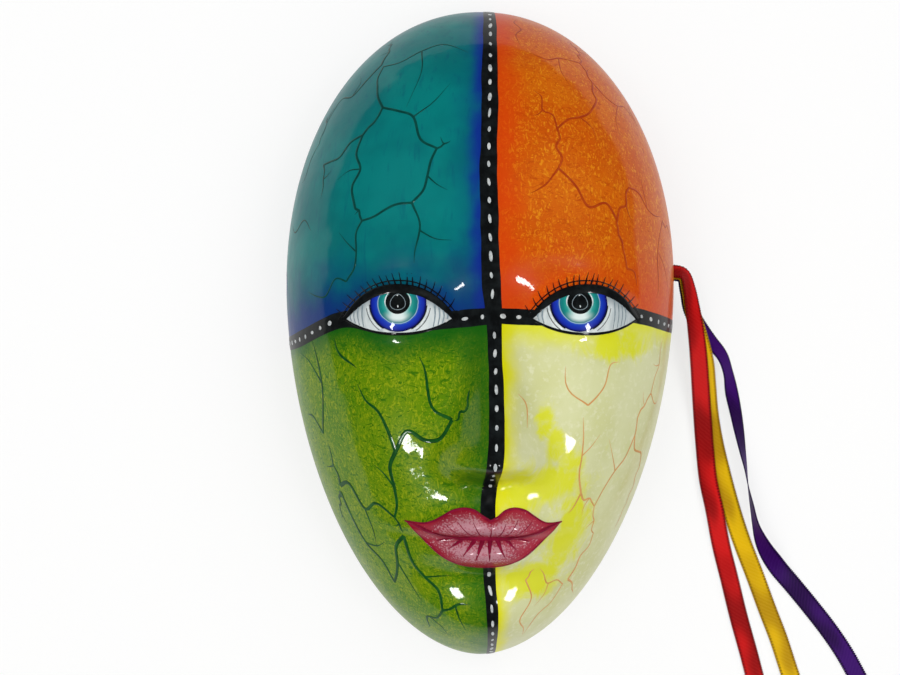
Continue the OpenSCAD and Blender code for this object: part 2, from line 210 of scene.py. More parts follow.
def face_normal(x, y):
    """Outward direction of the face over plan places x, y."""
    e = 0.15
    dx = over_face(x + e, y, COAT)[..., 2] - over_face(x - e, y, COAT)[..., 2]
    dy = over_face(x, y + e, COAT)[..., 2] - over_face(x, y - e, COAT)[..., 2]
    n = np.stack([-dx / (2 * e), -dy / (2 * e), np.ones_like(dx)], axis=-1)
    return n / np.linalg.norm(n, axis=-1, keepdims=True)


def on_face(x, y, lift):
    """Points a small lift out of the colour coat, over plan places x, y."""
    return over_face(x, y, COAT) + lift * face_normal(x, y)


def keep_above_hem(points):
    """Ends a coat a little above the rim."""
    points[..., 2] = np.maximum(points[..., 2], HEM)
    return points


# Mesh making.


def new_piece(name, points, faces, material):
    """A smooth mesh object at the origin from points in millimetres."""
    mesh = bpy.data.meshes.new(name)
    mesh.from_pydata((np.asarray(points) * MM).tolist(), [], faces)
    mesh.materials.append(material)
    mesh.validate()
    mesh.shade_smooth()
    piece = bpy.data.objects.new(name, mesh)
    bpy.context.collection.objects.link(piece)
    return piece


def sheet_faces(rows, cols, start=0):
    """The faces of a grid of points."""
    corners = [start + j * cols + i for j in range(rows - 1) for i in range(cols - 1)]
    return [(a, a + 1, a + cols + 1, a + cols) for a in corners]


def border(rows, cols):
    """Pairs of neighbours round a grid's border, running the way its faces turn."""
    last_row, last_col = (rows - 1) * cols, cols - 1
    loop = list(range(last_col)) + [j * cols + last_col for j in range(rows - 1)]
    loop += [last_row + i for i in range(last_col, 0, -1)] + [j * cols for j in range(rows - 1, 0, -1)]
    return list(zip(loop, loop[1:] + loop[:1]))


def skin_piece(name, top, bottom, material):
    """A thin closed skin between two grids, whose face and side each shade by themselves."""
    rows, cols = top.shape[:2]
    n = rows * cols
    rim = border(rows, cols)
    faces = sheet_faces(rows, cols) + [face[::-1] for face in sheet_faces(rows, cols, n)]
    faces += [(a + n, b + n, b, a) for a, b in rim]
    piece = new_piece(name, np.concatenate([top.reshape(-1, 3), bottom.reshape(-1, 3)]), faces, material)
    sharp = {frozenset((a + k, b + k)) for a, b in rim for k in (0, n)}
    for edge in piece.data.edges:
        edge.use_edge_sharp = frozenset(edge.vertices) in sharp
    return piece


def store(piece, name, values):
    """Stores one number a point on a skin, for its material: the same above and below."""
    layer = piece.data.attributes.new(name, "FLOAT", "POINT")
    layer.data.foreach_set("value", np.tile(np.ravel(values), 2).astype(np.float32))


def set_piece(piece, *nodes, slot=None):
    """A finished piece rides on the mask and stands for CAD nodes."""
    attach(piece, "root")
    if nodes:
        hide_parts(*nodes)


# Materials.


def new_material(name):
    """A material with an empty tree."""
    material = bpy.data.materials.new(name)
    material.use_nodes = True
    material.node_tree.nodes.clear()
    return material, material.node_tree


def finish_material(material, links):
    """Ends a material in a Principled shader."""
    shader = add(material.node_tree, "ShaderNodeBsdfPrincipled", links)
    add(material.node_tree, "ShaderNodeOutputMaterial", {"Surface": shader})
    return material


def painted(tree, ground, *coats):
    """Paint laid coat on coat: a ground colour, then each coat's share and colour."""
    colour = linear(ground) if isinstance(ground, str) else ground
    for share, code in coats:
        mixed = add(tree, "ShaderNodeMix", {0: share, 6: colour, 7: linear(code)}, data_type="RGBA")
        colour = mixed.outputs[2]
    return colour


def sponged(tree, size, low, high, stretch=(1, 1, 1), detail=3.0, rough=0.6, warp=0.0):
    """Sponge or dry-brush speckle of a size in millimetres: 0 between the flecks and 1 on them."""
    place = add(tree, "ShaderNodeTexCoord").outputs["Object"]
    drawn = add(tree, "ShaderNodeMapping", {"Vector": place, "Scale": stretch})
    flecks = add(tree, "ShaderNodeTexNoise", {"Vector": drawn, "Scale": 1000 / size, "Detail": detail,
                                              "Roughness": rough, "Distortion": warp})
    return add(tree, "ShaderNodeMapRange", {"Value": flecks, "From Min": low, "From Max": high},
               interpolation_type="SMOOTHSTEP")


def fading(tree, name, reach, strength):
    """Strength at a painted edge, fading to 0 over a reach in millimetres, with a hand-blended wander."""
    away = add(tree, "ShaderNodeAttribute", attribute_name=name).outputs["Fac"]
    place = add(tree, "ShaderNodeTexCoord").outputs["Object"]
    drift = add(tree, "ShaderNodeTexNoise", {"Vector": place, "Scale": 1000 / 9, "Detail": 3.0})
    moved = add(tree, "ShaderNodeMath", {0: drift, 1: -0.8 * reach, 2: away}, operation="MULTIPLY_ADD")
    return add(tree, "ShaderNodeMapRange", {"Value": moved, "From Min": -0.4 * reach, "From Max": 0.6 * reach,
                                            "To Min": strength, "To Max": 0.0},
               interpolation_type="SMOOTHSTEP")


def lacquer(name, paint, lumps=1.0):
    """Paint under clear gloss lacquer on fired clay: sharp glints that wander with the hand-smoothed clay."""
    material, tree = new_material(name)
    place = add(tree, "ShaderNodeTexCoord").outputs["Object"]
    # The clay's waves are about 14 mm long, and its grit about 2 mm.
    wave = add(tree, "ShaderNodeTexNoise", {"Vector": place, "Scale": 1000 / 14, "Detail": 1.0})
    grit = add(tree, "ShaderNodeTexNoise", {"Vector": place, "Scale": 1000 / 2.2, "Detail": 2.0})
    both = add(tree, "ShaderNodeMath", {0: grit, 1: 0.06, 2: wave}, operation="MULTIPLY_ADD")
    lump = add(tree, "ShaderNodeBump", {"Height": both, "Strength": 0.5 * lumps, "Distance": 0.0012})
    # A thin hard coat: sharp glints, and little of the table in the steep rim.
    return finish_material(material, {"Base Color": paint(tree), "Normal": lump, "Roughness": 0.35,
                                      "Specular IOR Level": 0.05, "Coat Normal": lump, "Coat Weight": 0.15,
                                      "Coat IOR": 2.0, "Coat Roughness": 0.05})


def teal_paint(tree):
    """Teal, rubbed thin in places, shaded with ultramarine along the bands."""
    rubbed = add(tree, "ShaderNodeMath", {0: fading(tree, "from_nose_band", 4.6, 0.85),
                                          1: sponged(tree, 26, 0.2, 0.5)}, operation="MULTIPLY")
    return painted(tree, "#046C6E",
                   (sponged(tree, 22, 0.35, 0.65), "#067A78"),
                   (sponged(tree, 2.4, 0.52, 0.85, (1.4, 0.16, 1)), "#055F6C"),
                   (fading(tree, "from_eye_band", 23, 0.9), "#05406C"),
                   (fading(tree, "from_eye_band", 9, 0.7), "#0A2678"),
                   (fading(tree, "from_nose_band", 11, 0.45), "#07406F"),
                   (rubbed, "#101E8C"))


def orange_paint(tree):
    """Orange sponged with yellow, shaded with red along the bands."""
    return painted(tree, "#C95606",
                   (sponged(tree, 18, 0.35, 0.65), "#D06408"),
                   (sponged(tree, 1.6, 0.5, 0.68, (1.0, 0.5, 1), 2.0, warp=2.5), "#DE8A14"),
                   (sponged(tree, 1.9, 0.5, 0.72, (0.5, 1.0, 1), 2.0, warp=2.5), "#BC4A04"),
                   (fading(tree, "from_eye_band", 24, 0.7), "#D03E06"),
                   (fading(tree, "from_nose_band", 12, 0.8), "#D23C06"))


def green_paint(tree):
    """Leaf green dabbed over yellow, darker along the bands."""
    return painted(tree, "#568204",
                   (sponged(tree, 16, 0.35, 0.65), "#688A06"),
                   (sponged(tree, 1.5, 0.48, 0.66, (1.0, 0.5, 1), 2.0, warp=2.5), "#90A010"),
                   (sponged(tree, 1.8, 0.5, 0.68, (0.5, 1.0, 1), 2.0, warp=2.5), "#386C04"),
                   (fading(tree, "from_eye_band", 13, 0.95), "#105A10"),
                   (fading(tree, "from_nose_band", 14, 0.75), "#1C6010"))


def yellow_paint(tree):
    """Cream ground with lemon rubbed along the bands and round the nose and mouth."""
    patch = add(tree, "ShaderNodeAttribute", attribute_name="lemon").outputs["Fac"]
    dabs = sponged(tree, 7, 0.2, 0.8, (1.0, 0.6, 1), 4.0, 0.7, warp=0.6)
    ragged = add(tree, "ShaderNodeMath", {0: dabs, 1: 0.9, 2: patch}, operation="MULTIPLY_ADD")
    rubbed = add(tree, "ShaderNodeMapRange", {"Value": ragged, "From Min": 0.7, "From Max": 1.5,
                                              "To Max": 0.92}, interpolation_type="SMOOTHSTEP")
    return painted(tree, "#D8DAA8",
                   (sponged(tree, 20, 0.35, 0.65), "#D0D296"),
                   (sponged(tree, 1.8, 0.5, 0.75), "#DFE0B8"),
                   (rubbed, "#DCDE18"),
                   (fading(tree, "from_eye_band", 10, 0.9), "#DEE010"),
                   (fading(tree, "from_nose_band", 8, 1.0), "#E0DE0C"))


def iris_paint(tree):
    """Navy rim, blue, a white line, a teal ring and a pale lower glow, by distance from the iris's middle."""
    out = add(tree, "ShaderNodeAttribute", attribute_name="iris_r").outputs["Fac"]
    low = add(tree, "ShaderNodeAttribute", attribute_name="iris_low").outputs["Fac"]
    place = add(tree, "ShaderNodeTexCoord").outputs["Object"]
    drift = add(tree, "ShaderNodeTexNoise", {"Vector": place, "Scale": 1000 / 2.5, "Detail": 2.0})
    moved = add(tree, "ShaderNodeMath", {0: drift, 1: 0.05, 2: out}, operation="MULTIPLY_ADD")
    rings = add(tree, "ShaderNodeValToRGB", {"Fac": moved})
    stops = ((0.44, "#7FB8B4"), (0.50, "#2E9C94"), (0.62, "#14807A"), (0.715, "#16707C"), (0.735, "#A9C6D6"),
             (0.755, "#2A56B0"), (0.80, "#1A3CB4"), (0.93, "#1428A0"), (1.0, "#0A0E50"))
    for spot, _ in stops[1:-1]:
        rings.color_ramp.elements.new(spot)
    for element, (spot, code) in zip(rings.color_ramp.elements, stops):
        element.position, element.color = spot, linear(code)
    glow = add(tree, "ShaderNodeMapRange", {"Value": low, "From Min": 0.25, "From Max": 0.85, "To Max": 0.9},
               interpolation_type="SMOOTHSTEP")
    inner = add(tree, "ShaderNodeMapRange", {"Value": moved, "From Min": 0.74, "From Max": 0.55},
                interpolation_type="SMOOTHSTEP")
    shine = add(tree, "ShaderNodeMath", {0: glow, 1: inner}, operation="MULTIPLY")
    return painted(tree, rings.outputs[0], (shine, "#E6F0EE"))


def white_paint(tree):
    """The eye white: pale, with painted shade greying it under the lid and towards the corners."""
    shade = add(tree, "ShaderNodeAttribute", attribute_name="painted_lid_shade").outputs["Fac"]
    streaks = sponged(tree, 2.5, 0.35, 0.65, (1, 0.25, 1))
    # The last coat is painted shade under the lid and at the corners.
    return painted(tree, "#DCE3E2", (streaks, "#C0CACC"), (shade, "#6E7B85"))


def lip_paint(tree):
    """Crimson, stippled with pale pink towards the middle of each lip."""
    fill = add(tree, "ShaderNodeAttribute", attribute_name="lip_fill").outputs["Fac"]
    right = add(tree, "ShaderNodeAttribute", attribute_name="lip_right").outputs["Fac"]
    soft = add(tree, "ShaderNodeMath", {0: fill, 1: 0.7}, operation="MULTIPLY")
    # Stipple dots of about 0.6 mm, ever more of them towards the middle.
    place = add(tree, "ShaderNodeTexCoord").outputs["Object"]
    dots = add(tree, "ShaderNodeTexNoise", {"Vector": place, "Scale": 1000 / 0.6, "Detail": 1.0})
    more = add(tree, "ShaderNodeMath", {0: fill, 1: 0.4, 2: dots}, operation="MULTIPLY_ADD")
    pale = add(tree, "ShaderNodeMapRange", {"Value": more, "From Min": 0.66, "From Max": 0.84,
                                            "To Max": 0.75}, interpolation_type="SMOOTHSTEP")
    return painted(tree, "#8C1028", (sponged(tree, 7, 0.25, 0.7), "#9E182E"), (right, "#B02E42"),
                   (soft, "#B46876"), (pale, "#C0909A"))


def brush_colour(name, code, other, size=3.0):
    """One brush colour under the lacquer, a little uneven as the brush left it."""
    return lacquer(name, lambda tree: painted(tree, code, (sponged(tree, size, 0.35, 0.7), other)), 0.6)


def bare_clay():
    """Fired terracotta, matt and gritty, with finger marks and paler dust."""
    material, tree = new_material("bare_terracotta")
    place = add(tree, "ShaderNodeTexCoord").outputs["Object"]
    # Finger marks are about 11 mm wide.
    marks = add(tree, "ShaderNodeTexNoise", {"Vector": place, "Scale": 1000 / 11, "Detail": 5.0,
                                             "Roughness": 0.65})
    lump = add(tree, "ShaderNodeBump", {"Height": marks, "Strength": 0.6, "Distance": 0.0015})
    colour = painted(tree, "#A85632", (sponged(tree, 24, 0.3, 0.7), "#BC6A44"),
                     (sponged(tree, 0.9, 0.5, 0.72), "#C98A66"))
    return finish_material(material, {"Base Color": colour, "Normal": lump, "Roughness": 0.85})


def satin(name, body, shade, light, stitched):
    """Satin ribbon: glossy floats over a fine weave, with a painted gleam here and painted shade there, and a
    dark selvedge.
    """
    material, tree = new_material(name)
    run = add(tree, "ShaderNodeAttribute", attribute_name="along").outputs["Fac"]
    side = add(tree, "ShaderNodeAttribute", attribute_name="across").outputs["Fac"]
    cloth = add(tree, "ShaderNodeCombineXYZ", {0: run, 1: side})
    # Threads are about 0.1 mm; they are drawn at 0.4 mm so that the weave shows.
    weave = add(tree, "ShaderNodeTexWave", {"Vector": cloth, "Scale": 1000 / 0.4 / 6.28, "Distortion": 2.0,
                                            "Detail": 1.0, "Detail Scale": 2.0}, bands_direction="DIAGONAL")
    thread = weave.outputs[1]
    # Painted gleams, about 30 mm long, slant a little across the ribbon; between them the colour is painted
    # shade.
    slant = add(tree, "ShaderNodeMath", {0: side, 1: 3.0}, operation="MULTIPLY")
    stretched = add(tree, "ShaderNodeCombineXYZ", {0: run, 1: slant})
    painted_gleam_noise = add(tree, "ShaderNodeTexNoise", {"Vector": stretched, "Scale": 1000 / 30, "Detail": 1.0})
    painted_gleam = add(tree, "ShaderNodeMapRange", {"Value": painted_gleam_noise, "From Min": 0.4, "From Max": 0.6},
                interpolation_type="SMOOTHSTEP")
    fleck = add(tree, "ShaderNodeMath", {0: thread, 1: 0.1}, operation="MULTIPLY")
    out = add(tree, "ShaderNodeMath", {0: side}, operation="ABSOLUTE")
    rim = add(tree, "ShaderNodeMapRange", {"Value": out, "From Min": 0.0022, "From Max": 0.0026})
    # The selvedge is stitched at about every 1.1 mm, and each stitch leaves a dark dot.
    turn = add(tree, "ShaderNodeMath", {0: run, 1: 6.283 * 1000 / 1.1}, operation="MULTIPLY")
    beat = add(tree, "ShaderNodeMath", {0: turn}, operation="SINE")
    stitch = add(tree, "ShaderNodeMapRange", {"Value": beat, "From Min": -0.4, "From Max": 0.4,
                                              "To Min": 0.25})
    selvedge = add(tree, "ShaderNodeMath", {0: rim, 1: stitch}, operation="MULTIPLY")
    # The ribbon's colour is painted shade, lifted to its body colour in the painted gleams.
    colour = painted(tree, shade, (painted_gleam, body), (fleck, light), (selvedge, stitched))
    lump = add(tree, "ShaderNodeBump", {"Height": thread, "Strength": 0.2, "Distance": 0.0001})
    return finish_material(material, {"Base Color": colour, "Normal": lump, "Roughness": 0.45,
                                      "Specular IOR Level": 0.03})


PAINTS = {"teal": lacquer("teal_lacquer", teal_paint), "orange": lacquer("orange_lacquer", orange_paint),
          "green": lacquer("green_lacquer", green_paint), "yellow": lacquer("yellow_lacquer", yellow_paint)}
CRACKS = {"teal": brush_colour("teal_crack", "#06403A", "#0A4C44"),
          "orange": brush_colour("rust_crack", "#A8380C", "#B8480F"),
          "green": brush_colour("dark_green_crack", "#0E4416", "#1A5A1C"),
          "yellow": brush_colour("salmon_crack", "#D69A58", "#DCA868")}
# Of each satin: its name, body colour in the painted gleams, colour in painted shade, lighter thread flecks
# and dark selvedge dots.
SATINS = {"red": satin("red_satin", "#CE1616", "#8E0608", "#DC3A34", "#5A0406"),
          "yellow": satin("gold_satin", "#E6B806", "#B48806", "#F0CC3C", "#7C5A06"),
          "purple": satin("purple_satin", "#3A0C66", "#240440", "#542484", "#14022A")}
CLAY = bare_clay()
BLACK = brush_colour("black_lacquer", "#0B0D0E", "#171B1C")
DASH_WHITE = brush_colour("dash_white", "#CDD1D0", "#A4AAAC", 1.5)
IRIS = lacquer("iris_lacquer", iris_paint, 0.3)
EYE_WHITE = lacquer("eye_white_lacquer", white_paint, 0.3)
EYE_GLINT = brush_colour("eye_glint_white", "#E8EEEE", "#CBD7DA", 1.0)
EYE_GREY = brush_colour("eye_bar_grey", "#7C8C94", "#93A2A8", 1.0)
LIP = lacquer("crimson_lacquer", lip_paint, 0.5)
LIP_LINE = brush_colour("lip_line_maroon", "#7A0F2E", "#8E1838")

# Geometry Nodes.


def node_group(name, sizes):
    """A Geometry Nodes tree with named inputs, and the drawn lines as curves that face out of the surface."""
    tree = bpy.data.node_groups.new(name, "GeometryNodeTree")
    tree.interface.new_socket("Geometry", in_out="INPUT", socket_type="NodeSocketGeometry")
    for label, value in sizes.items():
        kind = "NodeSocketInt" if isinstance(value, int) else "NodeSocketFloat"
        tree.interface.new_socket(label, in_out="INPUT", socket_type=kind).default_value = value
    tree.interface.new_socket("Material", in_out="INPUT", socket_type="NodeSocketMaterial")
    tree.interface.new_socket("Geometry", in_out="OUTPUT", socket_type="NodeSocketGeometry")
    given = add(tree, "NodeGroupInput").outputs
    stored = add(tree, "GeometryNodeInputNamedAttribute", {"Name": "facing"}, data_type="FLOAT_VECTOR")
    facing = stored.outputs["Attribute"]
    line = add(tree, "GeometryNodeMeshToCurve", {"Mesh": given["Geometry"]})
    curve = add(tree, "GeometryNodeSetCurveNormal", {"Curve": line, "Normal": facing}, mode="FREE")
    return tree, given, curve


def end_group(tree, given, shape):
    """Ends a tree in plain geometry of the given material."""
    plain = add(tree, "GeometryNodeRealizeInstances", {0: shape})
    done = add(tree, "GeometryNodeSetMaterial", {"Geometry": plain, "Material": given["Material"]})
    add(tree, "NodeGroupOutput", {0: done})
    return tree


def beads_along(tree, curve, pitch):
    """Places along a curve, and the turn that lays a bead on each with its length along the curve."""
    spots = add(tree, "GeometryNodeCurveToPoints", {"Curve": curve, "Length": pitch}, mode="LENGTH").outputs
    lie = add(tree, "FunctionNodeAxesToRotation", {0: spots["Normal"], 1: spots["Tangent"]},
              primary_axis="Z", secondary_axis="X")
    return spots, lie


def bead(tree, segments, rings, *size):
    """A ball drawn out to a length, width and rise."""
    ball = add(tree, "GeometryNodeMeshUVSphere", {"Segments": segments, "Rings": rings, "Radius": 0.5})
    scale = add(tree, "ShaderNodeCombineXYZ", dict(enumerate(size)))
    return add(tree, "GeometryNodeTransform", {"Geometry": ball, "Scale": scale})


def brush_stroke_tree():
    """Turns drawn lines into low brush strokes: a flattened round, as wide as each point's half_width."""
    tree, given, curve = node_group("brush_stroke", {"Flatness": 0.12})
    stored = add(tree, "GeometryNodeInputNamedAttribute", {"Name": "half_width"}, data_type="FLOAT")
    width = stored.outputs["Attribute"]
    circle = add(tree, "GeometryNodeCurvePrimitiveCircle", {"Resolution": 8, "Radius": 1.0})
    flat = add(tree, "ShaderNodeCombineXYZ", {0: given["Flatness"], 1: 1.0, 2: 1.0})
    lens = add(tree, "GeometryNodeTransform", {"Geometry": circle, "Scale": flat})
    swept = add(tree, "GeometryNodeCurveToMesh", {"Curve": curve, "Profile Curve": lens, "Scale": width,
                                                  "Fill Caps": True})
    return end_group(tree, given, add(tree, "GeometryNodeSetShadeSmooth", {0: swept}))


def dash_tree():
    """Sets brush dashes along a drawn line, facing out of the surface, each a little different."""
    tree, given, curve = node_group("brush_dashes", {"Pitch": 0.005, "Length": 0.003, "Width": 0.001,
                                                     "Rise": 0.0001, "Seed": 1})
    spots, lie = beads_along(tree, curve, given["Pitch"])
    dab = bead(tree, 14, 8, given["Length"], given["Width"], given["Rise"])
    soft = add(tree, "GeometryNodeSetShadeSmooth", {0: dab})
    vary = add(tree, "FunctionNodeRandomValue", {"Min": (0.5, 0.75, 1.0), "Max": (1.25, 1.15, 1.0),
                                                 "Seed": given["Seed"]}, data_type="FLOAT_VECTOR")
    tilt = add(tree, "FunctionNodeRandomValue", {"Min": (0, 0, -0.22), "Max": (0, 0, 0.22),
                                                 "Seed": given["Seed"]}, data_type="FLOAT_VECTOR")
    set_down = add(tree, "GeometryNodeInstanceOnPoints", {"Points": spots[0], "Instance": soft,
                                                          "Rotation": lie, "Scale": vary})
    swung = add(tree, "GeometryNodeRotateInstances", {"Instances": set_down, "Rotation": tilt})
    return end_group(tree, given, swung)


def ribbon_tree():
    """Weaves a flat ribbon along a drawn line, with a row of picot loops down each edge."""
    tree, given, curve = node_group("satin_ribbon", {"Width": 0.006, "Thickness": 0.0004,
                                                     "Picot Pitch": 0.001})
    run = add(tree, "GeometryNodeSplineParameter")
    marked = add(tree, "GeometryNodeStoreNamedAttribute", {"Geometry": curve, "Name": "along",
                                                           "Value": run.outputs["Length"]}, domain="POINT")
    cut = add(tree, "GeometryNodeCurvePrimitiveQuadrilateral", {"Width": given["Thickness"],
                                                                "Height": given["Width"]})
    fine = add(tree, "GeometryNodeResampleCurve", {"Curve": cut, "Count": 28})
    split = add(tree, "ShaderNodeSeparateXYZ", {0: add(tree, "GeometryNodeInputPosition")})
    profile = add(tree, "GeometryNodeStoreNamedAttribute", {"Geometry": fine, "Name": "across",
                                                            "Value": split.outputs[1]}, domain="POINT")
    woven = add(tree, "GeometryNodeCurveToMesh", {"Curve": marked, "Profile Curve": profile,
                                                  "Fill Caps": True})
    parts = [add(tree, "GeometryNodeSetShadeSmooth", {0: woven})]
    for side in (-0.5, 0.5):
        spots, lie = beads_along(tree, curve, given["Picot Pitch"])
        out_way = add(tree, "ShaderNodeVectorMath", {0: spots["Normal"], 1: spots["Tangent"]},
                      operation="CROSS_PRODUCT")
        far = add(tree, "ShaderNodeMath", {0: given["Width"], 1: side}, operation="MULTIPLY")
        move = add(tree, "ShaderNodeVectorMath", {0: out_way, "Scale": far}, operation="SCALE")
        edge = add(tree, "GeometryNodeSetPosition", {"Geometry": spots[0], "Offset": move})
        picot = bead(tree, 8, 4, given["Picot Pitch"], 0.0005, given["Thickness"])
        row = add(tree, "GeometryNodeInstanceOnPoints", {"Points": edge, "Instance": picot, "Rotation": lie,
                                                         "Scale": (0.72, 1.0, 1.0)})
        real = add(tree, "GeometryNodeRealizeInstances", {0: row})
        parts.append(add(tree, "GeometryNodeStoreNamedAttribute", {"Geometry": real, "Name": "across",
                                                                   "Value": far}, domain="POINT"))
    both = add(tree, "GeometryNodeJoinGeometry")
    for part in parts:
        tree.links.new(part.outputs[0], both.inputs[0])
    return end_group(tree, given, both)


STROKES, DASHES, RIBBON = brush_stroke_tree(), dash_tree(), ribbon_tree()


def run_lines(name, lines, tree, material, sizes):
    """Runs a tree on drawn lines and keeps the plain mesh.

    A line is its points in millimetres, the way each point faces, and half widths in millimetres.
    """
    points, edges, facing, widths = [], [], [], []
    for path, out_way, half in lines:
        edges += [(len(points) + k, len(points) + k + 1) for k in range(len(path) - 1)]
        points += (np.asarray(path) * MM).tolist()
        facing += np.asarray(out_way).tolist()
        widths += (np.asarray(half) * MM).tolist()
    mesh = bpy.data.meshes.new(name + "_lines")
    mesh.from_pydata(points, edges, [])
    mesh.attributes.new("facing", "FLOAT_VECTOR", "POINT").data.foreach_set("vector", np.ravel(facing))
    mesh.attributes.new("half_width", "FLOAT", "POINT").data.foreach_set("value", np.ravel(widths))
    drawn = bpy.data.objects.new(name + "_lines", mesh)
    bpy.context.collection.objects.link(drawn)
    modifier = drawn.modifiers.new("nodes", "NODES")
    modifier.node_group = tree
    inputs = dict(sizes, Material=material)
    for item in tree.interface.items_tree:
        if item.in_out == "INPUT" and item.name in inputs:
            modifier[item.identifier] = inputs[item.name]
    plain = bpy.data.meshes.new_from_object(drawn.evaluated_get(bpy.context.evaluated_depsgraph_get()))
    plain.name = name
    bpy.data.objects.remove(drawn)
    bpy.data.meshes.remove(mesh)
    for layer in ("facing", "half_width"):
        if layer in plain.attributes:
            plain.attributes.remove(plain.attributes[layer])
    piece = bpy.data.objects.new(name, plain)
    bpy.context.collection.objects.link(piece)
    return piece


def painted_line(plan, half, lift, step=0.6):
    """A line drawn in plan, laid on the face: evenly set points, their facing and half widths."""
    plan = np.asarray(plan, dtype=float)
    run = np.concatenate([[0], np.cumsum(np.hypot(*np.diff(plan, axis=0).T))])
    at = np.linspace(0, run[-1], max(3, int(run[-1] / step)))
    x, y, wide = (np.interp(at, run, row) for row in (plan[:, 0], plan[:, 1], half))
    return on_face(x, y, lift), face_normal(x, y), wide


def rounded(points, count):
    """A smooth curve through points."""
    p = np.asarray(points, dtype=float)
    p = np.concatenate([[2 * p[0] - p[1]], p, [2 * p[-1] - p[-2]]])
    out = []
    for k in range(1, len(p) - 2):
        a, b, c, d = p[k - 1:k + 3]
        for t in np.linspace(0, 1, count, endpoint=False):
            out.append(0.5 * (2 * b + (c - a) * t + (2 * a - 5 * b + 4 * c - d) * t * t
                              + (3 * b - a - 3 * c + d) * t ** 3))
    return np.array(out + [p[-2]])


# The clay shell and its four colour fields.

# The nose band wanders as the brush did: height on the face, then its middle's offset and its half width.
NOSE_BAND = ((-113, 0, 2.4), (-90, -0.7, 2.6), (-76, -2.2, 2.65), (-58, -2.9, 2.75), (-50, -2.7, 2.8),
             (-43, -0.9, 3.0), (-33, 0.0, 3.1), (-20, 0.4, 2.6), (5, 0.2, 2.3), (18, -0.5, 2.2),
             (50, -1.2, 2.2), (80, -0.8, 2.15), (113, 0, 2.1))
# Lemon patches on the yellow field: middle and reach.
LEMON = ((18, -27, 3.2, 5), (22, -34, 3.6, 6), (26, -41, 5, 8), (19, -46, 13, 6), (10, -48, 8, 8),
         (28, -58, 6, 10), (24, -67, 7, 9), (15, -77, 12, 7), (40, -4, 13, 5))
# Half widths of the bands, from where the fields' shading fades.
NOSE_HALF, EYE_HALF = 2.4, 2.2


def along_band(v, column):
    """The nose band's offset (column 1) or half width (column 2) in grid units, at grid heights v."""
    table = np.array(NOSE_BAND).T
    y = face_grid(0 * v, v, COAT)[..., 1]
    fine = np.linspace(table[0, 0], table[0, -1], 400)
    rough = np.pad(np.interp(fine, table[0], table[column]), 10, "edge")
    return np.interp(y, fine, np.convolve(rough, np.ones(21) / 21, "valid")) / (FACE_W / 2 - 3)


def spread(count, ends):
    """Grid places from 0 to 1, closer together towards the far end."""
    t = np.linspace(0, 1, count)
    return (1 - ends) * t + ends * np.sin(t * math.pi / 2)


def both_ways(low, high):
    """Grid places from -1 to 1, out of a spread each way."""
    return np.concatenate([-low[::-1], high[1:]])


def drill(piece, d):
    """Cuts both temple holes."""
    for x, y in ((-DRILL_X, HOLE_Y - HOLE_DROP), (DRILL_X, HOLE_Y)):
        bpy.ops.mesh.primitive_cylinder_add(vertices=64, radius=d / 2 * MM, depth=DRILL_LEN * MM,
                                            location=Vector((x, y, HOLE_Z)) * MM,
                                            rotation=(0, math.pi / 2, 0))
        tool = bpy.context.object
        cut = piece.modifiers.new("hole", "BOOLEAN")
        cut.operation, cut.object, cut.solver = "DIFFERENCE", tool, "EXACT"
        bpy.context.view_layer.update()
        mesh = bpy.data.meshes.new_from_object(piece.evaluated_get(bpy.context.evaluated_depsgraph_get()))
        piece.modifiers.clear()
        old, piece.data = piece.data, mesh
        bpy.data.meshes.remove(old)
        bpy.data.objects.remove(tool)
    piece.data.name = piece.name


def make_shell():
    """The hollow clay body, flat on its rim."""
    across, up = both_ways(spread(46, 0.75), spread(46, 0.75)), both_ways(spread(110, 0.6), spread(60, 0.75))
    u, v = np.meshgrid(across, up)
    outer, inner = face_grid(u, v, -COAT_GAP), face_grid(u, v, -WALL, True)
    # Under the coats the clay lies a little deeper, clear of them.
    deep = 0.35 * np.clip((outer[..., 2:] - 4) / 6, 0, 1)
    outer -= deep * face_normal(outer[..., 0], outer[..., 1])
    for grid in (outer, inner):
        for edge in (grid[0], grid[-1], grid[:, 0], grid[:, -1]):
            edge[:, 2] = 0
    piece = skin_piece("clay_body", outer, inner, CLAY)
    drill(piece, HOLE_D)
    set_piece(piece, "clay_shell", slot="bare_clay")


def covered(x, y):
    """Over 0 inside an eye or the mouth."""
    a = np.abs(x - SHIFT)
    return np.maximum(1 - ((a - EYE_GAP) / 15) ** 2 - ((y - 6) / 5.5) ** 2,
                      1 - ((x - MOUTH_X) / 21) ** 2 - ((y - MOUTH_LINE + 0.5) / 7) ** 2)


def make_quarter(word, side, up):
    """One colour field, from the middle of the bands out to the hem."""
    us = side * spread(80, 0.6)[::side]
    vs = up * (spread(76, 0.75) if up > 0 else spread(150, 0.45))[::up]
    u, v = np.meshgrid(us, vs)
    away = np.abs(u)
    u = along_band(v, 1) * (1 - away) + u
    top, low = keep_above_hem(face_grid(u, v, COAT)), keep_above_hem(face_grid(u, v, COAT_GAP))
    x, y = top[..., 0], top[..., 1]
    # The coat is thinner under the eyes and lips, which are painted over it.
    top[..., 2] -= 0.3 * step_up(3 * covered(x, y))
    piece = skin_piece(word + "_field", top, low, PAINTS[word])
    store(piece, "from_nose_band", away * FACE_W / 2 - NOSE_HALF)
    store(piece, "from_eye_band", np.abs(v) * (CROWN if up > 0 else CHIN - 12) - EYE_HALF)
    if word == "yellow":
        store(piece, "lemon", np.max([np.minimum(1, 1.35 * bump(x, y, *patch)) for patch in LEMON], axis=0))
    if up > 0:
        drill(piece, HOLE_D + 1)
    set_piece(piece, word + "_quarter", slot=word + "_lacquer")


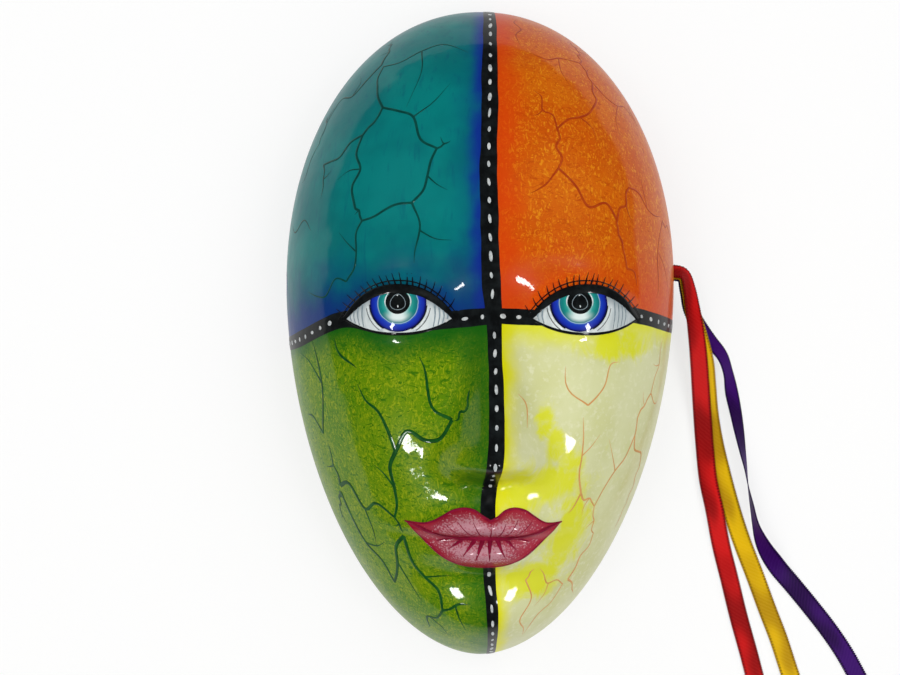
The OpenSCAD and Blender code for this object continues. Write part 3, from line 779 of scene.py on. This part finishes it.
make_shell()
for word, side, up in FIELDS:
    make_quarter(word, side, up)

# The black bands and their white dashes.

# How far the bands' edges wobble, in grid units: up to about 0.3 mm and 0.13 mm.
NOSE_SWING, EYE_SWING = 0.003366, 0.000841


def wander(t, seed, swing):
    """A slow hand wobble along a line."""
    rng = random.Random(seed)
    return swing * sum(np.sin(t * f * math.pi + rng.uniform(0, 6.28)) / f ** 0.5 for f in (3, 7, 13, 23))


def rim_drop(u):
    """The left eye band ends a little lower at the rim."""
    return -1.9 / BAND_SPAN * step_up((-u - 0.66) / 0.34)


def make_band(node, us, vs):
    """A painted band between two edges, each given as grid places along it."""
    rows, low = [], []
    for k in np.linspace(0, 1, 11):
        u, v = us[0] + (us[1] - us[0]) * k, vs[0] + (vs[1] - vs[0]) * k
        points = face_grid(u, v, COAT)
        lift = 0.04 + 0.07 * min(1, 6 * min(k, 1 - k))
        rows.append(keep_above_hem(points + lift * face_normal(points[:, 0], points[:, 1])))
        low.append(keep_above_hem(face_grid(u, v, 0.1)))
    piece = skin_piece(node + "_paint", np.array(rows), np.array(low), BLACK)
    set_piece(piece, node, slot="black_lacquer")


def band_line(us, vs):
    """A line along the top of a band, for its dashes."""
    points = face_grid(us, vs, COAT)
    out_way = face_normal(points[:, 0], points[:, 1])
    return keep_above_hem(points + 0.13 * out_way), out_way, np.ones(len(points))


along_v = both_ways(spread(220, 0.3), spread(150, 0.4))
middle, half = along_band(along_v, 1), along_band(along_v, 2)
edges = [middle + half + wander(along_v, 4, NOSE_SWING), middle - half + wander(along_v, 9, NOSE_SWING)]
make_band("nose_band", edges, [along_v, along_v])
for word, side in (("left", -1), ("right", 1)):
    along_u = side * spread(120, 0.4)
    # The band is broader towards the rim.
    half = (2.25 + 0.6 * step_up((np.abs(along_u) - 0.7) / 0.25)) / BAND_SPAN
    half += wander(along_u, 12 + side, EYE_SWING)
    edges = [rim_drop(along_u) - way * side * half for way in (1, -1)]
    make_band(word + "_eye_band", [along_u, along_u], edges)

# Dashes run over the forehead, the bridge of the nose and the chin, and dots beside the nose and at the rim.
dash_rows = [np.linspace(*ends, 140) for ends in ((0.06, 0.985), (-0.43, -0.05), (-0.975, -0.675))]
dash_lines = [band_line(along_band(rows, 1), rows) for rows in dash_rows]
dot_cols = [side * np.linspace(*ends) for side in (-1, 1) for ends in ((0.045, 0.2, 40), (0.72, 0.985, 60))]
dot_lines = [band_line(cols, rim_drop(cols)) for cols in dot_cols]
dash_sizes = {"Pitch": 0.0056, "Length": 0.0031, "Width": 0.0011, "Rise": 0.00016, "Seed": 3}
dot_sizes = {"Pitch": 0.0049, "Length": 0.0021, "Width": 0.0014, "Rise": 0.00016, "Seed": 8}
set_piece(run_lines("nose_band_dashes", dash_lines, DASHES, DASH_WHITE, dash_sizes))
set_piece(run_lines("eye_band_dots", dot_lines, DASHES, DASH_WHITE, dot_sizes))

# Eyes.


def eye_middle(side):
    """The plan place between an eye's corners, and how far its iris is set from there."""
    return SHIFT + side * EYE_GAP, EYE_LINE - EYE_DROP, -GAZE if side > 0 else 0.0


def make_disc(name, side, radius, height, lift, material):
    """A painted disc on an eye, cut off by its lids, and its points' turns and shares of the radius."""
    cx, cy, gaze = eye_middle(side)
    turn, share = np.meshgrid(np.linspace(0, 2 * math.pi, 73)[:-1], np.linspace(0.04, 1, 26))
    dx, dy = gaze + radius * share * np.cos(turn), height + radius * share * np.sin(turn)
    dy = np.clip(dy, -lid_edge(dx / EYE_LEN, LID_DOWN), lid_edge(dx / EYE_LEN, LID_UP + LID_LAP))
    rows, cols = share.shape
    n, last = rows * cols, (rows - 1) * cols
    # Each point with the next one round its ring.
    steps = [(j * cols + i, j * cols + (i + 1) % cols) for j in range(rows) for i in range(cols)]
    faces = [tuple(range(cols)), tuple(range(n + cols - 1, n - 1, -1))]
    for a, b in steps[:last]:
        faces += [(a, a + cols, b + cols, b), (b + n, b + cols + n, a + cols + n, a + n)]
    faces += [(a + n, b + n, b, a) for a, b in steps[last:]]
    top, low = on_face(cx + dx, cy + dy, lift), on_face(cx + dx, cy + dy, 0.03)
    piece = new_piece(name, np.concatenate([top.reshape(-1, 3), low.reshape(-1, 3)]), faces, material)
    for edge in piece.data.edges:
        edge.use_edge_sharp = min(edge.vertices) >= last and max(edge.vertices) < n
    return piece, turn, share


def make_eye(side, word):
    """The eye white from lid to lid, with its iris and pupil."""
    cx, cy, _ = eye_middle(side)
    t, s = np.meshgrid(np.linspace(-1, 1, 71), np.linspace(0, 1, 19))
    x = cx + EYE_LEN * t
    y = cy - lid_edge(t, LID_DOWN) + s * (lid_edge(t, LID_UP + LID_LAP) + lid_edge(t, LID_DOWN))
    white = skin_piece(word + "_eye_white_paint", on_face(x, y, 0.12), over_face(x, y, PAINT_FOOT), EYE_WHITE)
    # Painted shade: the white greys under the upper lid and towards both corners.
    store(white, "painted_lid_shade", np.minimum(1, 0.7 * step_up((s - 0.6) / 0.4) + 0.5 * np.abs(t) ** 5))
    set_piece(white, word + "_eye_white", slot="white_lacquer")
    iris, turn, share = make_disc(word + "_iris_paint", side, IRIS_R, IRIS_Y, 0.18, IRIS)
    store(iris, "iris_r", share)
    store(iris, "iris_low", np.clip(-np.sin(turn), 0, 1) * (1 - 0.5 * np.abs(np.cos(turn))))
    set_piece(iris, word + "_iris", slot="blue_lacquer")
    pupil, *_ = make_disc(word + "_pupil_paint", side, PUPIL_R, PUPIL_Y, 0.23, BLACK)
    set_piece(pupil, word + "_pupil", slot="black_lacquer")


def ring(cx, cy, r, start, stop, count=30):
    """Plan points along an arc, in degrees."""
    a = np.radians(np.linspace(start, stop, count))
    return np.stack([cx + r * np.cos(a), cy + r * np.sin(a)], 1)


def lid_lines(side):
    """Black brush lines over and under an eye: lid, lower edge, lash arc and lashes."""
    cx, cy, _ = eye_middle(side)
    rng = random.Random(20 + side)
    t = np.linspace(-1.06, 1.04, 80) * -side
    inner = np.clip(t, -1, 1)
    tails = 2 * np.maximum(0, np.abs(t) - 1)
    lid = np.stack([cx + EYE_LEN * t, cy + lid_edge(inner, LID_UP + 1.4) - tails], 1)
    low = np.stack([cx + EYE_LEN * t, cy - lid_edge(inner, LID_DOWN + 0.1)], 1)
    lash_up = LID_UP + LID_LINE + 2.2
    arc_t = np.linspace(-1, 1, 60)
    arc = np.stack([cx + (EYE_LEN + 2) * arc_t, cy - 0.3 + lid_edge(arc_t, lash_up)], 1)
    lines = [painted_line(lid, 0.6 + 0.9 * (1 - np.abs(inner) ** 3.5), lift=0.2, step=0.4),
             painted_line(low, 0.34 + 0.1 * (1 - inner ** 2), lift=0.16),
             painted_line(arc, 0.1 + 0.12 * (1 - arc_t ** 4), lift=0.16, step=0.4)]
    for f in np.linspace(-0.9, 0.82, 19):
        root = np.array([cx + (EYE_LEN + 1) * f, cy - 1.5 + lid_edge(f, lash_up)])
        tilt = 0.95 * f + 0.22 * side + rng.uniform(-0.12, 0.12)
        tip = root + rng.uniform(3.2, 4.3) * np.array([math.sin(tilt), math.cos(tilt)])
        bend = (root + tip) / 2 + [0.25 * f, -0.1]
        lash = rounded([root, bend, tip], 6)
        lines.append(painted_line(lash, np.linspace(0.27, 0.08, len(lash)), lift=0.18, step=0.3))
    return lines


def iris_lines(side):
    """Brush lines in an eye: black rings beside the iris, pale rings and glints, grey bars and pupil ring."""
    cx, cy, gaze = eye_middle(side)
    ix, iy, py = cx + gaze, cy + IRIS_Y, cy + PUPIL_Y
    black, pale, grey = [], [], []
    for start, stop in ((188, 236), (304, 352)):
        near = ring(ix, iy, IRIS_R + 0.1, start - 6, stop + 4)
        between = ring(ix, iy, IRIS_R + 0.7, start - 3, stop)
        far = ring(ix, iy, IRIS_R + 1.25, start, stop - 2 if start < 270 else stop)
        black.append(painted_line(near, np.full(30, 0.2), lift=0.19))
        black.append(painted_line(far, np.full(30, 0.11), lift=0.15))
        pale.append(painted_line(between, np.full(30, 0.26), lift=0.15))
    for out in (2.6, 4.0, 5.3, 6.5):
        for way in (-1, 1):
            x = ix + way * (IRIS_R + out)
            if abs(x - cx) > EYE_LEN - 1:
                continue
            f = (x - cx) / EYE_LEN
            low, high = cy - lid_edge(f, LID_DOWN) + 0.3, cy + lid_edge(f, LID_UP) - 0.3
            bar = rounded([(x - 0.5 * way, low), (x, (low + high) / 2), (x - 0.2 * way, high)], 8)
            grey.append(painted_line(bar, np.linspace(0.16, 0.3, len(bar)), lift=0.14, step=0.4))
    # A drop-shaped ring and two glints in the pupil, and pale rims beside it.
    a = np.linspace(0, 2 * math.pi, 60)
    drop = np.stack([ix + 2.2 * np.sin(a) * (1 - 0.25 * np.cos(a)), py + 2.35 * np.cos(a)], 1)
    grey.append(painted_line(drop, np.full(60, 0.09), lift=0.24, step=0.3))
    low_glint = [(ix - 0.1, py - 1.35), (ix + 0.2, py - 1.3)]
    high_glint = [(ix - 0.3, py + 1.9), (ix + 0.1, py + 2.1)]
    pale.append(painted_line(low_glint, [0.32, 0.32], lift=0.26, step=0.2))
    pale.append(painted_line(high_glint, [0.16, 0.12], lift=0.26, step=0.2))
    for turn in (168, 12):
        rim = ring(ix, py, PUPIL_R + 0.25, turn - 32, turn + 32, 24)
        pale.append(painted_line(rim, 0.04 + 0.17 * np.sin(np.linspace(0, math.pi, 24)), lift=0.2, step=0.3))
    return black, pale, grey


for side, word in ((-1, "left"), (1, "right")):
    make_eye(side, word)
    black, pale, grey = iris_lines(side)
    lids = run_lines(word + "_lid_and_lashes", lid_lines(side) + black, STROKES, BLACK, {"Flatness": 0.16})
    set_piece(lids, word + "_lid", slot="black_lacquer")
    set_piece(run_lines(word + "_eye_glints", pale, STROKES, EYE_GLINT, {"Flatness": 0.2}))
    set_piece(run_lines(word + "_eye_bars", grey, STROKES, EYE_GREY, {"Flatness": 0.15}))

# Lips.

# Right halves of the lips' edges, from the middle of the mouth.
MOUTH = rounded([(0, 0), (8, 0.4), (14.4, 1.6), (MOUTH_W / 2, 4.5)], 20)
UPPER = rounded([(0, 5.9), (2.4, 7.1), (4.8, 8.8), (7.7, 9.4), (11, 8.7), (13.9, 6.9), (17.3, 4.9),
                 (20.2, 4.3), (MOUTH_W / 2, 4.5)], 12)
LOWER = rounded([(0, -9.4), (4.8, -9.1), (9.1, -7.9), (13, -5.8), (16.8, -2.6), (20.2, 0.8),
                 (MOUTH_W / 2, 4.5)], 12)
# Creases of each lip: start and end across, and share of the lip's height.
UPPER_CREASES = ((-1.2, -5.2, 0.62), (-2.2, -9.5, 0.6), (-3.6, -13, 0.62), (1.2, 4.6, 0.6), (2.2, 8.6, 0.66),
                 (3.4, 13, 0.64), (0, 0.3, 0.9))
LOWER_CREASES = ((0, -0.2, 0.7), (-2, -4.4, 0.72), (-4, -8, 0.6), (-7, -12, 0.5), (-10, -15.5, 0.42),
                 (2, 4.6, 0.66), (4.4, 8.2, 0.5), (8, 12.5, 0.4))


def lean(x):
    """How far the painted bow and creases are set to the right, up to the lips' corners."""
    return 2.0 * (1 - (2 * x / MOUTH_W) ** 2)


def lip_height(edge, x):
    """Height of a lip's edge over the mouth line."""
    if edge is UPPER:
        x = x - lean(x)
    return np.interp(np.abs(x), edge[:, 0], edge[:, 1])


def make_lip(node, edge):
    """One lip, between the mouth line and its outer edge."""
    t, s = np.meshgrid(np.linspace(-1, 1, 121), np.linspace(0, 1, 21))
    dx = MOUTH_W / 2 * np.sign(t) * (1 - (1 - np.abs(t)) ** 1.3)
    inner, outer = lip_height(MOUTH, dx), lip_height(edge, dx)
    low, high = np.minimum(inner, outer), np.maximum(inner, outer)
    x, y = MOUTH_X + dx, MOUTH_LINE + low + s * (high - low)
    piece = skin_piece(node + "_paint", on_face(x, y, 0.16), over_face(x, y, PAINT_FOOT), LIP)
    from_mouth = s if edge is UPPER else 1 - s
    fill = np.clip(np.sin(np.clip(from_mouth * 1.08, 0, 1) * math.pi), 0, 1) ** 1.1
    fill = fill * np.clip(1.3 - np.abs(dx) / 16, 0, 1)
    right = step_up((dx - 2) / 12)
    if edge is LOWER:
        fill = fill * (1 - 0.4 * right)
    store(piece, "lip_fill", fill)
    store(piece, "lip_right", 0.55 * right)
    set_piece(piece, node, slot="crimson_lacquer")


def lip_line(x, y, half, lift):
    """A painted line on the lips, from places measured from the middle of the mouth."""
    return painted_line(np.stack([MOUTH_X + x, MOUTH_LINE + y], 1), half, lift)


def lip_lines():
    """The mouth line, the lips' outer edges and their creases."""
    t = np.linspace(-1, 1, 90)
    x = MOUTH_W / 2 * t
    lines = [lip_line(x, lip_height(MOUTH, x), 0.2 + 0.75 * (1 - t ** 2), 0.45)]
    for edge, wide in ((UPPER, 0.32), (LOWER, 0.38)):
        lines.append(lip_line(x, lip_height(edge, x), 0.08 + wide * (1 - np.abs(t) ** 3), 0.18))
    for edge, creases, sag, aside, wide, lift in ((UPPER, UPPER_CREASES, 0.3, 0.0, 0.34, 0.19),
                                                  (LOWER, LOWER_CREASES, 0.5, -0.2, 0.85, 0.2)):
        for x0, x1, share in creases:
            x0, x1 = x0 + lean(x0), x1 + lean(x1)
            y0, y1 = lip_height(MOUTH, x0), lip_height(MOUTH, x1) * (1 - share) + lip_height(edge, x1) * share
            path = rounded([(x0, y0), ((x0 + x1) / 2 + aside, y0 + sag * (y1 - y0)), (x1, y1)], 8)
            lines.append(lip_line(path[:, 0], path[:, 1], np.linspace(wide, 0.08, len(path)), lift))
    return lines


make_lip("upper_lip", UPPER)
make_lip("lower_lip", LOWER)
set_piece(run_lines("lip_creases", lip_lines(), STROKES, LIP_LINE, {"Flatness": 0.14}))

# Crackle lines, one seeded net to each field.

# Of each net: seed and half width. Then the shares of lines that are kept and of those that throw a twig.
CRACK_NETS = {"teal": (1, 0.4), "orange": (13, 0.36), "green": (9, 0.6), "yellow": (14, 0.31)}
CRACKS_KEPT, CRACK_TWIGS = 0.8, 0.6


def in_field(x, y, side, up):
    """Tells whether a place is inside one colour field, clear of the bands, eyes, nostrils and lips."""
    a = x - SHIFT
    if a * side < 7 or (y - EYE_LINE) * up < 6:
        return False
    if ((a - side * EYE_GAP) / 21) ** 2 + ((y - 6) / 14) ** 2 < 1:
        return False
    if (a / 27) ** 2 + ((y - MOUTH_LINE) / 13) ** 2 < 1 or (a / 18) ** 2 + ((y + 40) / 12) ** 2 < 1:
        return False
    reach = CROWN if y > WIDE_Y else CHIN
    return (x / FACE_W * 2) ** 2 + ((y - WIDE_Y) / reach) ** 2 < (0.92 if up > 0 else 0.84)


def on_field(path, side, up):
    """Plan places of a net's path, laid over one colour field."""
    path = np.sin(np.clip(path, 0, 0.97) * math.pi / 2)
    return face_grid(side * path[:, 0], up * path[:, 1], COAT)[:, :2]


def cell_edges(rng, columns, rows):
    """An uneven cell net over a unit square: its edges as pairs of numbered corners, and the corners."""
    seeds = [Vector(((i + rng.uniform(0.12, 0.88)) / columns * 1.25 - 0.12,
                     (j + rng.uniform(0.12, 0.88)) / rows * 1.25 - 0.12))
             for j in range(rows) for i in range(columns)]
    spots, _, triangles, *_ = delaunay_2d_cdt(seeds, [], [], 0, 1e-6)
    corners, shared = [], {}
    for k, (a, b, c) in enumerate(triangles):
        # A cell's corner is the middle of the circle through three seeds.
        p, q, r = spots[a], spots[b], spots[c]
        d = 2 * (p.x * (q.y - r.y) + q.x * (r.y - p.y) + r.x * (p.y - q.y))
        sp, sq, sr = (w.length_squared for w in (p, q, r))
        corners.append(np.array([sp * (q.y - r.y) + sq * (r.y - p.y) + sr * (p.y - q.y),
                                 sp * (r.x - q.x) + sq * (p.x - r.x) + sr * (q.x - p.x)]) / d)
        for edge in ((a, b), (b, c), (c, a)):
            shared.setdefault(frozenset(edge), []).append(k)
    return [pair for pair in shared.values() if len(pair) == 2], corners


def crack_runs(rng, side, up):
    """Waving edges of a cell net, each up to where it leaves the field, and how many meet at each corner."""
    # Cells are about 24 mm across, measured over the curve of the face.
    pairs, corners = cell_edges(rng, 5, 7 if up > 0 else 8)
    runs, live = [], {}
    for k, m in pairs:
        start, stop, keep = corners[k], corners[m], rng.random() < CRACKS_KEPT
        sway = [rng.uniform(-0.13, 0.13) for _ in range(3)]
        if not keep or np.linalg.norm(stop - start) < 0.03 or np.abs([start, stop]).max() > 1.4:
            continue
        cross = np.array([start[1] - stop[1], stop[0] - start[0]])
        waves = [start + (stop - start) * f + cross * w for f, w in zip((0.28, 0.52, 0.76), sway)]
        net, ends = rounded([start] + waves + [stop], 6), [k, m]
        plan = on_field(net, side, up)
        good = [in_field(x, y, side, up) for x, y in plan]
        if not good[0]:
            net, plan, good, ends = net[::-1], plan[::-1], good[::-1], [m, k]
        last = good.index(False) if False in good else len(good)
        if last < 6:
            continue
        ends[1] = ends[1] if last == len(good) else None
        runs.append((net[:last], plan[:last], ends, cross))
        for end in ends:
            live[end] = live.get(end, 0) + 1
    return runs, live


def crack_net(seed, side, up, half):
    """Crackle lines of one field: a cell net with gaps, twigs and thin free ends."""
    rng = random.Random(seed)
    runs, live = crack_runs(rng, side, up)
    wide = {end: half * rng.uniform(0.6, 1.3) for end in live}
    lines = []
    for net, plan, ends, cross in runs:
        # A line thins towards an end where no other line meets it, and some lines throw a short twig.
        halves = [wide[end] if end is not None and live[end] > 1 else 0.12 * half for end in ends]
        halves = np.linspace(*halves, len(plan))
        if len(plan) > 8:
            halves = np.maximum(halves, 0.75 * half * np.sin(np.linspace(0, math.pi, len(plan))) ** 0.7)
        lines.append(painted_line(plan, halves, lift=0.03))
        if rng.random() < CRACK_TWIGS and len(net) > 12:
            mid = len(net) // 2
            way, reach = rng.choice((-1, 1)), rng.uniform(0.35, 0.6)
            out, run = way * reach * 0.5 * cross, net[mid + 3] - net[mid - 3]
            bend = net[mid] + out + run * rng.uniform(-0.4, 0.6)
            tip = bend + out + run * rng.uniform(-0.2, 0.5)
            twig = on_field(rounded([net[mid], bend, tip], 8), side, up)
            if all(in_field(x, y, side, up) for x, y in twig):
                lines.append(painted_line(twig, np.linspace(0.7, 0.1, len(twig)) * half, lift=0.03))
    return lines


for word, side, up in FIELDS:
    seed, half = CRACK_NETS[word]
    lines = crack_net(seed, side, up, half)
    set_piece(run_lines(word + "_crackle", lines, STROKES, CRACKS[word], {"Flatness": 0.1}))

# Ribbons and their knot.

# Each route gives places and a lean in degrees, as in the part's source.
ROUTES = {
    "red": [(KNOT_X, 21.6, 12.6, 45), (67.5, 21.6, 12.6, 45), (71.2, 20.5, 12.4, 46), (73.1, 15.6, 11.4, 39),
            (74.6, 8.5, 10, 27), (76.2, 0, 8.3, 15), (77.6, -9, 6.2, 8), (78.8, -19, 4, 3),
            (79.8, -28, 2.3, 0), (80.8, -39, 1.4, 0), (82.1, -52, 1.3, 0), (84.4, -63, 1.3, 0),
            (87, -76, 0.5, 0), (90, -88, 0.4, 0), (93.4, -102, 0.4, 0), (97, -115, 0.4, 0),
            (101, -130, 0.4, 0), (106.5, -147, 0.4, 0), (112.5, -165, 0.4, 0), (119, -183, 0.4, 0),
            (124, -197, 0.4, 0)],
    "yellow": [(KNOT_X, 21, 12, 45), (67.5, 21, 12, 45), (70.7, 19.9, 11.7, 46), (72.5, 15.1, 10.6, 40),
               (74.5, 8.3, 9, 27), (77.6, -1, 6.9, 14), (80.2, -10, 4.7, 6), (81.5, -19, 2.6, 2),
               (82.8, -29, 0.9, 0), (84.8, -40, 0.4, 0), (87.7, -52, 0.4, 0), (91, -64, 0.4, 0),
               (94.6, -75, 0.4, 0), (99.2, -87, 0.4, 0), (103.6, -99, 0.4, 0), (107.8, -110, 0.4, 0),
               (112.4, -124, 0.4, 0), (119, -142, 0.4, 0), (126, -160, 0.4, 0), (133.5, -178, 0.4, 0),
               (138, -188, 0.4, 0)],
    "purple": [(KNOT_X, 20.4, 11.4, 45), (67.5, 20.4, 11.4, 45), (70.4, 19.15, 10.85, 47),
               (72.1, 14.5, 9.5, 40), (74.3, 8.5, 7.3, 27), (78, 3, 4.4, 24), (82.6, -2.6, 2.4, 31),
               (86.9, -8, 2.5, 40), (89, -14, 2.5, 44), (90.4, -21, 1.95, 32), (91.8, -28, 2.15, 36),
               (93, -35, 2.45, 44), (94.1, -42, 2.9, 56), (95.1, -48, 3.2, 67), (95.9, -54, 3.4, 75),
               (97, -60, 3.5, 84), (98.6, -68, 3.6, 96), (101.8, -76, 2.9, 130), (106.8, -83.5, 1.4, 166),
               (112.4, -90, 0.5, 180), (119, -98, 0.4, 180), (126, -107, 0.4, 180), (132, -116, 0.4, 180),
               (138, -127, 0.4, 180), (146, -141, 0.4, 180), (154.5, -155, 0.4, 180), (163, -169, 0.4, 180),
               (170, -180, 0.4, 180)]}


def ribbon_line(route):
    """Centre line of a ribbon and the way its face looks."""
    p = rounded(route, 12)
    place = p[:, :3]
    run = np.gradient(place, axis=0)
    run /= np.linalg.norm(run, axis=1, keepdims=True)
    flat = np.cross(run, [0, 0, 1])
    flat /= np.linalg.norm(flat, axis=1, keepdims=True)
    tilt = np.radians(p[:, 3:])
    return place, np.cross(flat, run) * np.cos(tilt) - flat * np.sin(tilt)


def make_ribbon(word):
    """One satin ribbon, limp and loose, from the knot to its bare cut end."""
    place, facing = ribbon_line(ROUTES[word])
    sizes = {"Width": RIBBON_W * MM, "Thickness": 0.00034, "Picot Pitch": 0.0008}
    line = (place, facing, np.ones(len(place)))
    piece = run_lines(word + "_ribbon_cloth", [line], RIBBON, SATINS[word], sizes)
    set_piece(piece, word + "_ribbon", slot=word + "_satin")


def make_knot_wrap(word, lane):
    """One ribbon's wrap in the overhand knot, where the three cross over and tuck under."""
    r, turn = 3.9 + 0.35 * lane, np.linspace(0.3, 2 * math.pi - 0.3, 60)
    x = KNOT_X - KNOT_LEN / 2 + 2.6 * np.sin(2 * turn) + 0.9 * lane
    out_way = np.stack([0 * turn, np.cos(turn + 0.4 * lane), np.sin(turn + 0.4 * lane)], 1)
    loop = np.stack([x, HOLE_Y + 0 * x, HOLE_Z + 0 * x], 1) + r * out_way
    sizes = {"Width": 0.0048, "Thickness": 0.0005, "Picot Pitch": 0.00095}
    name = "ribbon_knot_wrap_%d" % (lane + 2)
    piece = run_lines(name, [(loop, out_way, np.ones(60))], RIBBON, SATINS[word], sizes)
    set_piece(piece, *(["ribbon_knot"] if lane < 0 else []), slot=word + "_satin")


for word in SATINS:
    make_ribbon(word)
for lane, word in enumerate(SATINS):
    make_knot_wrap(word, lane - 1)

# Table, lamps and camera, in metres.

# From the middle, the white sheet fades into the grey table top between these distances.
SHEET_END, TABLE_START = 0.26, 0.9
# The share of full white that the camera sees near the mask, where its shadow stays, and far off.
NEAR_WHITE, FAR_WHITE = 0.75, 0.98
# Half sizes of the dark place under the mask.
DARK_HALF = (0.06, 0.1)
LAMP_AIM = Vector((0, 0, 0.03))


def pale_table():
    """A white sheet on a wide grey table top, which keeps the white in the lacquer's steep sides low."""
    material, tree = new_material("white_sheet_on_table")
    place = add(tree, "ShaderNodeTexCoord").outputs["Object"]
    out = add(tree, "ShaderNodeVectorMath", {0: place}, operation="LENGTH").outputs["Value"]
    far = add(tree, "ShaderNodeMapRange", {"Value": out, "From Min": SHEET_END, "From Max": TABLE_START},
              interpolation_type="SMOOTHSTEP")
    sheet = add(tree, "ShaderNodeBsdfPrincipled", {"Base Color": painted(tree, "#F9F9F8", (far, "#6A6A68")),
                                                   "Roughness": 0.9, "Specular IOR Level": 0.1})
    # The sheet is seen mostly at full white, so that only a faint shadow stays on it. This lights nothing.
    ray = add(tree, "ShaderNodeLightPath").outputs
    mirrored = add(tree, "ShaderNodeMath", {0: ray["Is Glossy Ray"], 1: ray["Is Transmission Ray"]},
                   operation="MAXIMUM")
    near = add(tree, "ShaderNodeMapRange", {"Value": far, "To Min": NEAR_WHITE, "To Max": 0.0})
    wide = add(tree, "ShaderNodeMapRange", {"Value": out, "From Min": 0.3, "From Max": TABLE_START,
                                            "To Min": NEAR_WHITE, "To Max": FAR_WHITE})
    inside = add(tree, "ShaderNodeMapping", {"Vector": place,
                                             "Scale": (1 / DARK_HALF[0], 1 / DARK_HALF[1], 0)})
    edge = add(tree, "ShaderNodeVectorMath", {0: inside}, operation="LENGTH").outputs["Value"]
    lit = add(tree, "ShaderNodeMapRange", {"Value": edge, "From Min": 0.85, "From Max": 1.0})
    seen = add(tree, "ShaderNodeMath", {0: wide, 1: lit}, operation="MULTIPLY")
    shown = add(tree, "ShaderNodeMath", {0: mirrored, 1: near}, operation="MULTIPLY")
    share = add(tree, "ShaderNodeMath", {0: ray["Is Camera Ray"], 1: seen, 2: shown},
                operation="MULTIPLY_ADD")
    glow = add(tree, "ShaderNodeEmission", {"Color": linear("#FFFFFF"), "Strength": 1.0})
    both = add(tree, "ShaderNodeMixShader", {0: share, 1: sheet, 2: glow})
    add(tree, "ShaderNodeOutputMaterial", {"Surface": both})
    bpy.ops.mesh.primitive_plane_add(size=60, location=(0, 0, -0.0002))
    table = bpy.context.object
    table.name = "pale_table"
    table.data.materials.append(material)


def lamp(name, place, size, power, fill=False):
    """A softbox aimed at the mask. A fill lamp lights it, and the other lamps only glint in the lacquer."""
    light = bpy.data.lights.new(name, "AREA")
    light.energy, light.shape = power, "RECTANGLE"
    light.size, light.size_y = size
    holder = bpy.data.objects.new(name, light)
    bpy.context.collection.objects.link(holder)
    holder.location = place
    holder.rotation_euler = (LAMP_AIM - Vector(place)).to_track_quat("-Z", "Y").to_euler()
    holder.visible_glossy, holder.visible_diffuse = not fill, fill


pale_table()
lamp("lower_left_softbox", (-0.49, -0.46, 0.74), (0.08, 0.2), 3.0)
lamp("lower_right_softbox", (0.49, -0.46, 0.74), (0.1, 0.22), 4.0)
for index, turn in enumerate((35, 145, 215, 325)):
    place = (0.85 * math.cos(math.radians(turn)), 0.85 * math.sin(math.radians(turn)), 1.0)
    lamp("fill_softbox_%d" % (index + 1), place, (0.9, 0.9), 6.3, True)
world = bpy.data.worlds.new("studio")
bpy.context.scene.world = world
world.use_nodes = True
world.node_tree.nodes["Background"].inputs[0].default_value = linear("#FFFFFF")
world.node_tree.nodes["Background"].inputs[1].default_value = 0.04

lens = bpy.data.cameras.new("overhead_camera")
lens.sensor_width, lens.lens = 36.0, 40.0
lens.clip_start = 0.01
camera = bpy.data.objects.new("overhead_camera", lens)
bpy.context.collection.objects.link(camera)
camera.location = (-0.0104, -0.0015, 0.36)
camera.rotation_euler = (0, 0, 0)
bpy.context.scene.camera = camera
bpy.context.scene.view_settings.view_transform = "Standard"
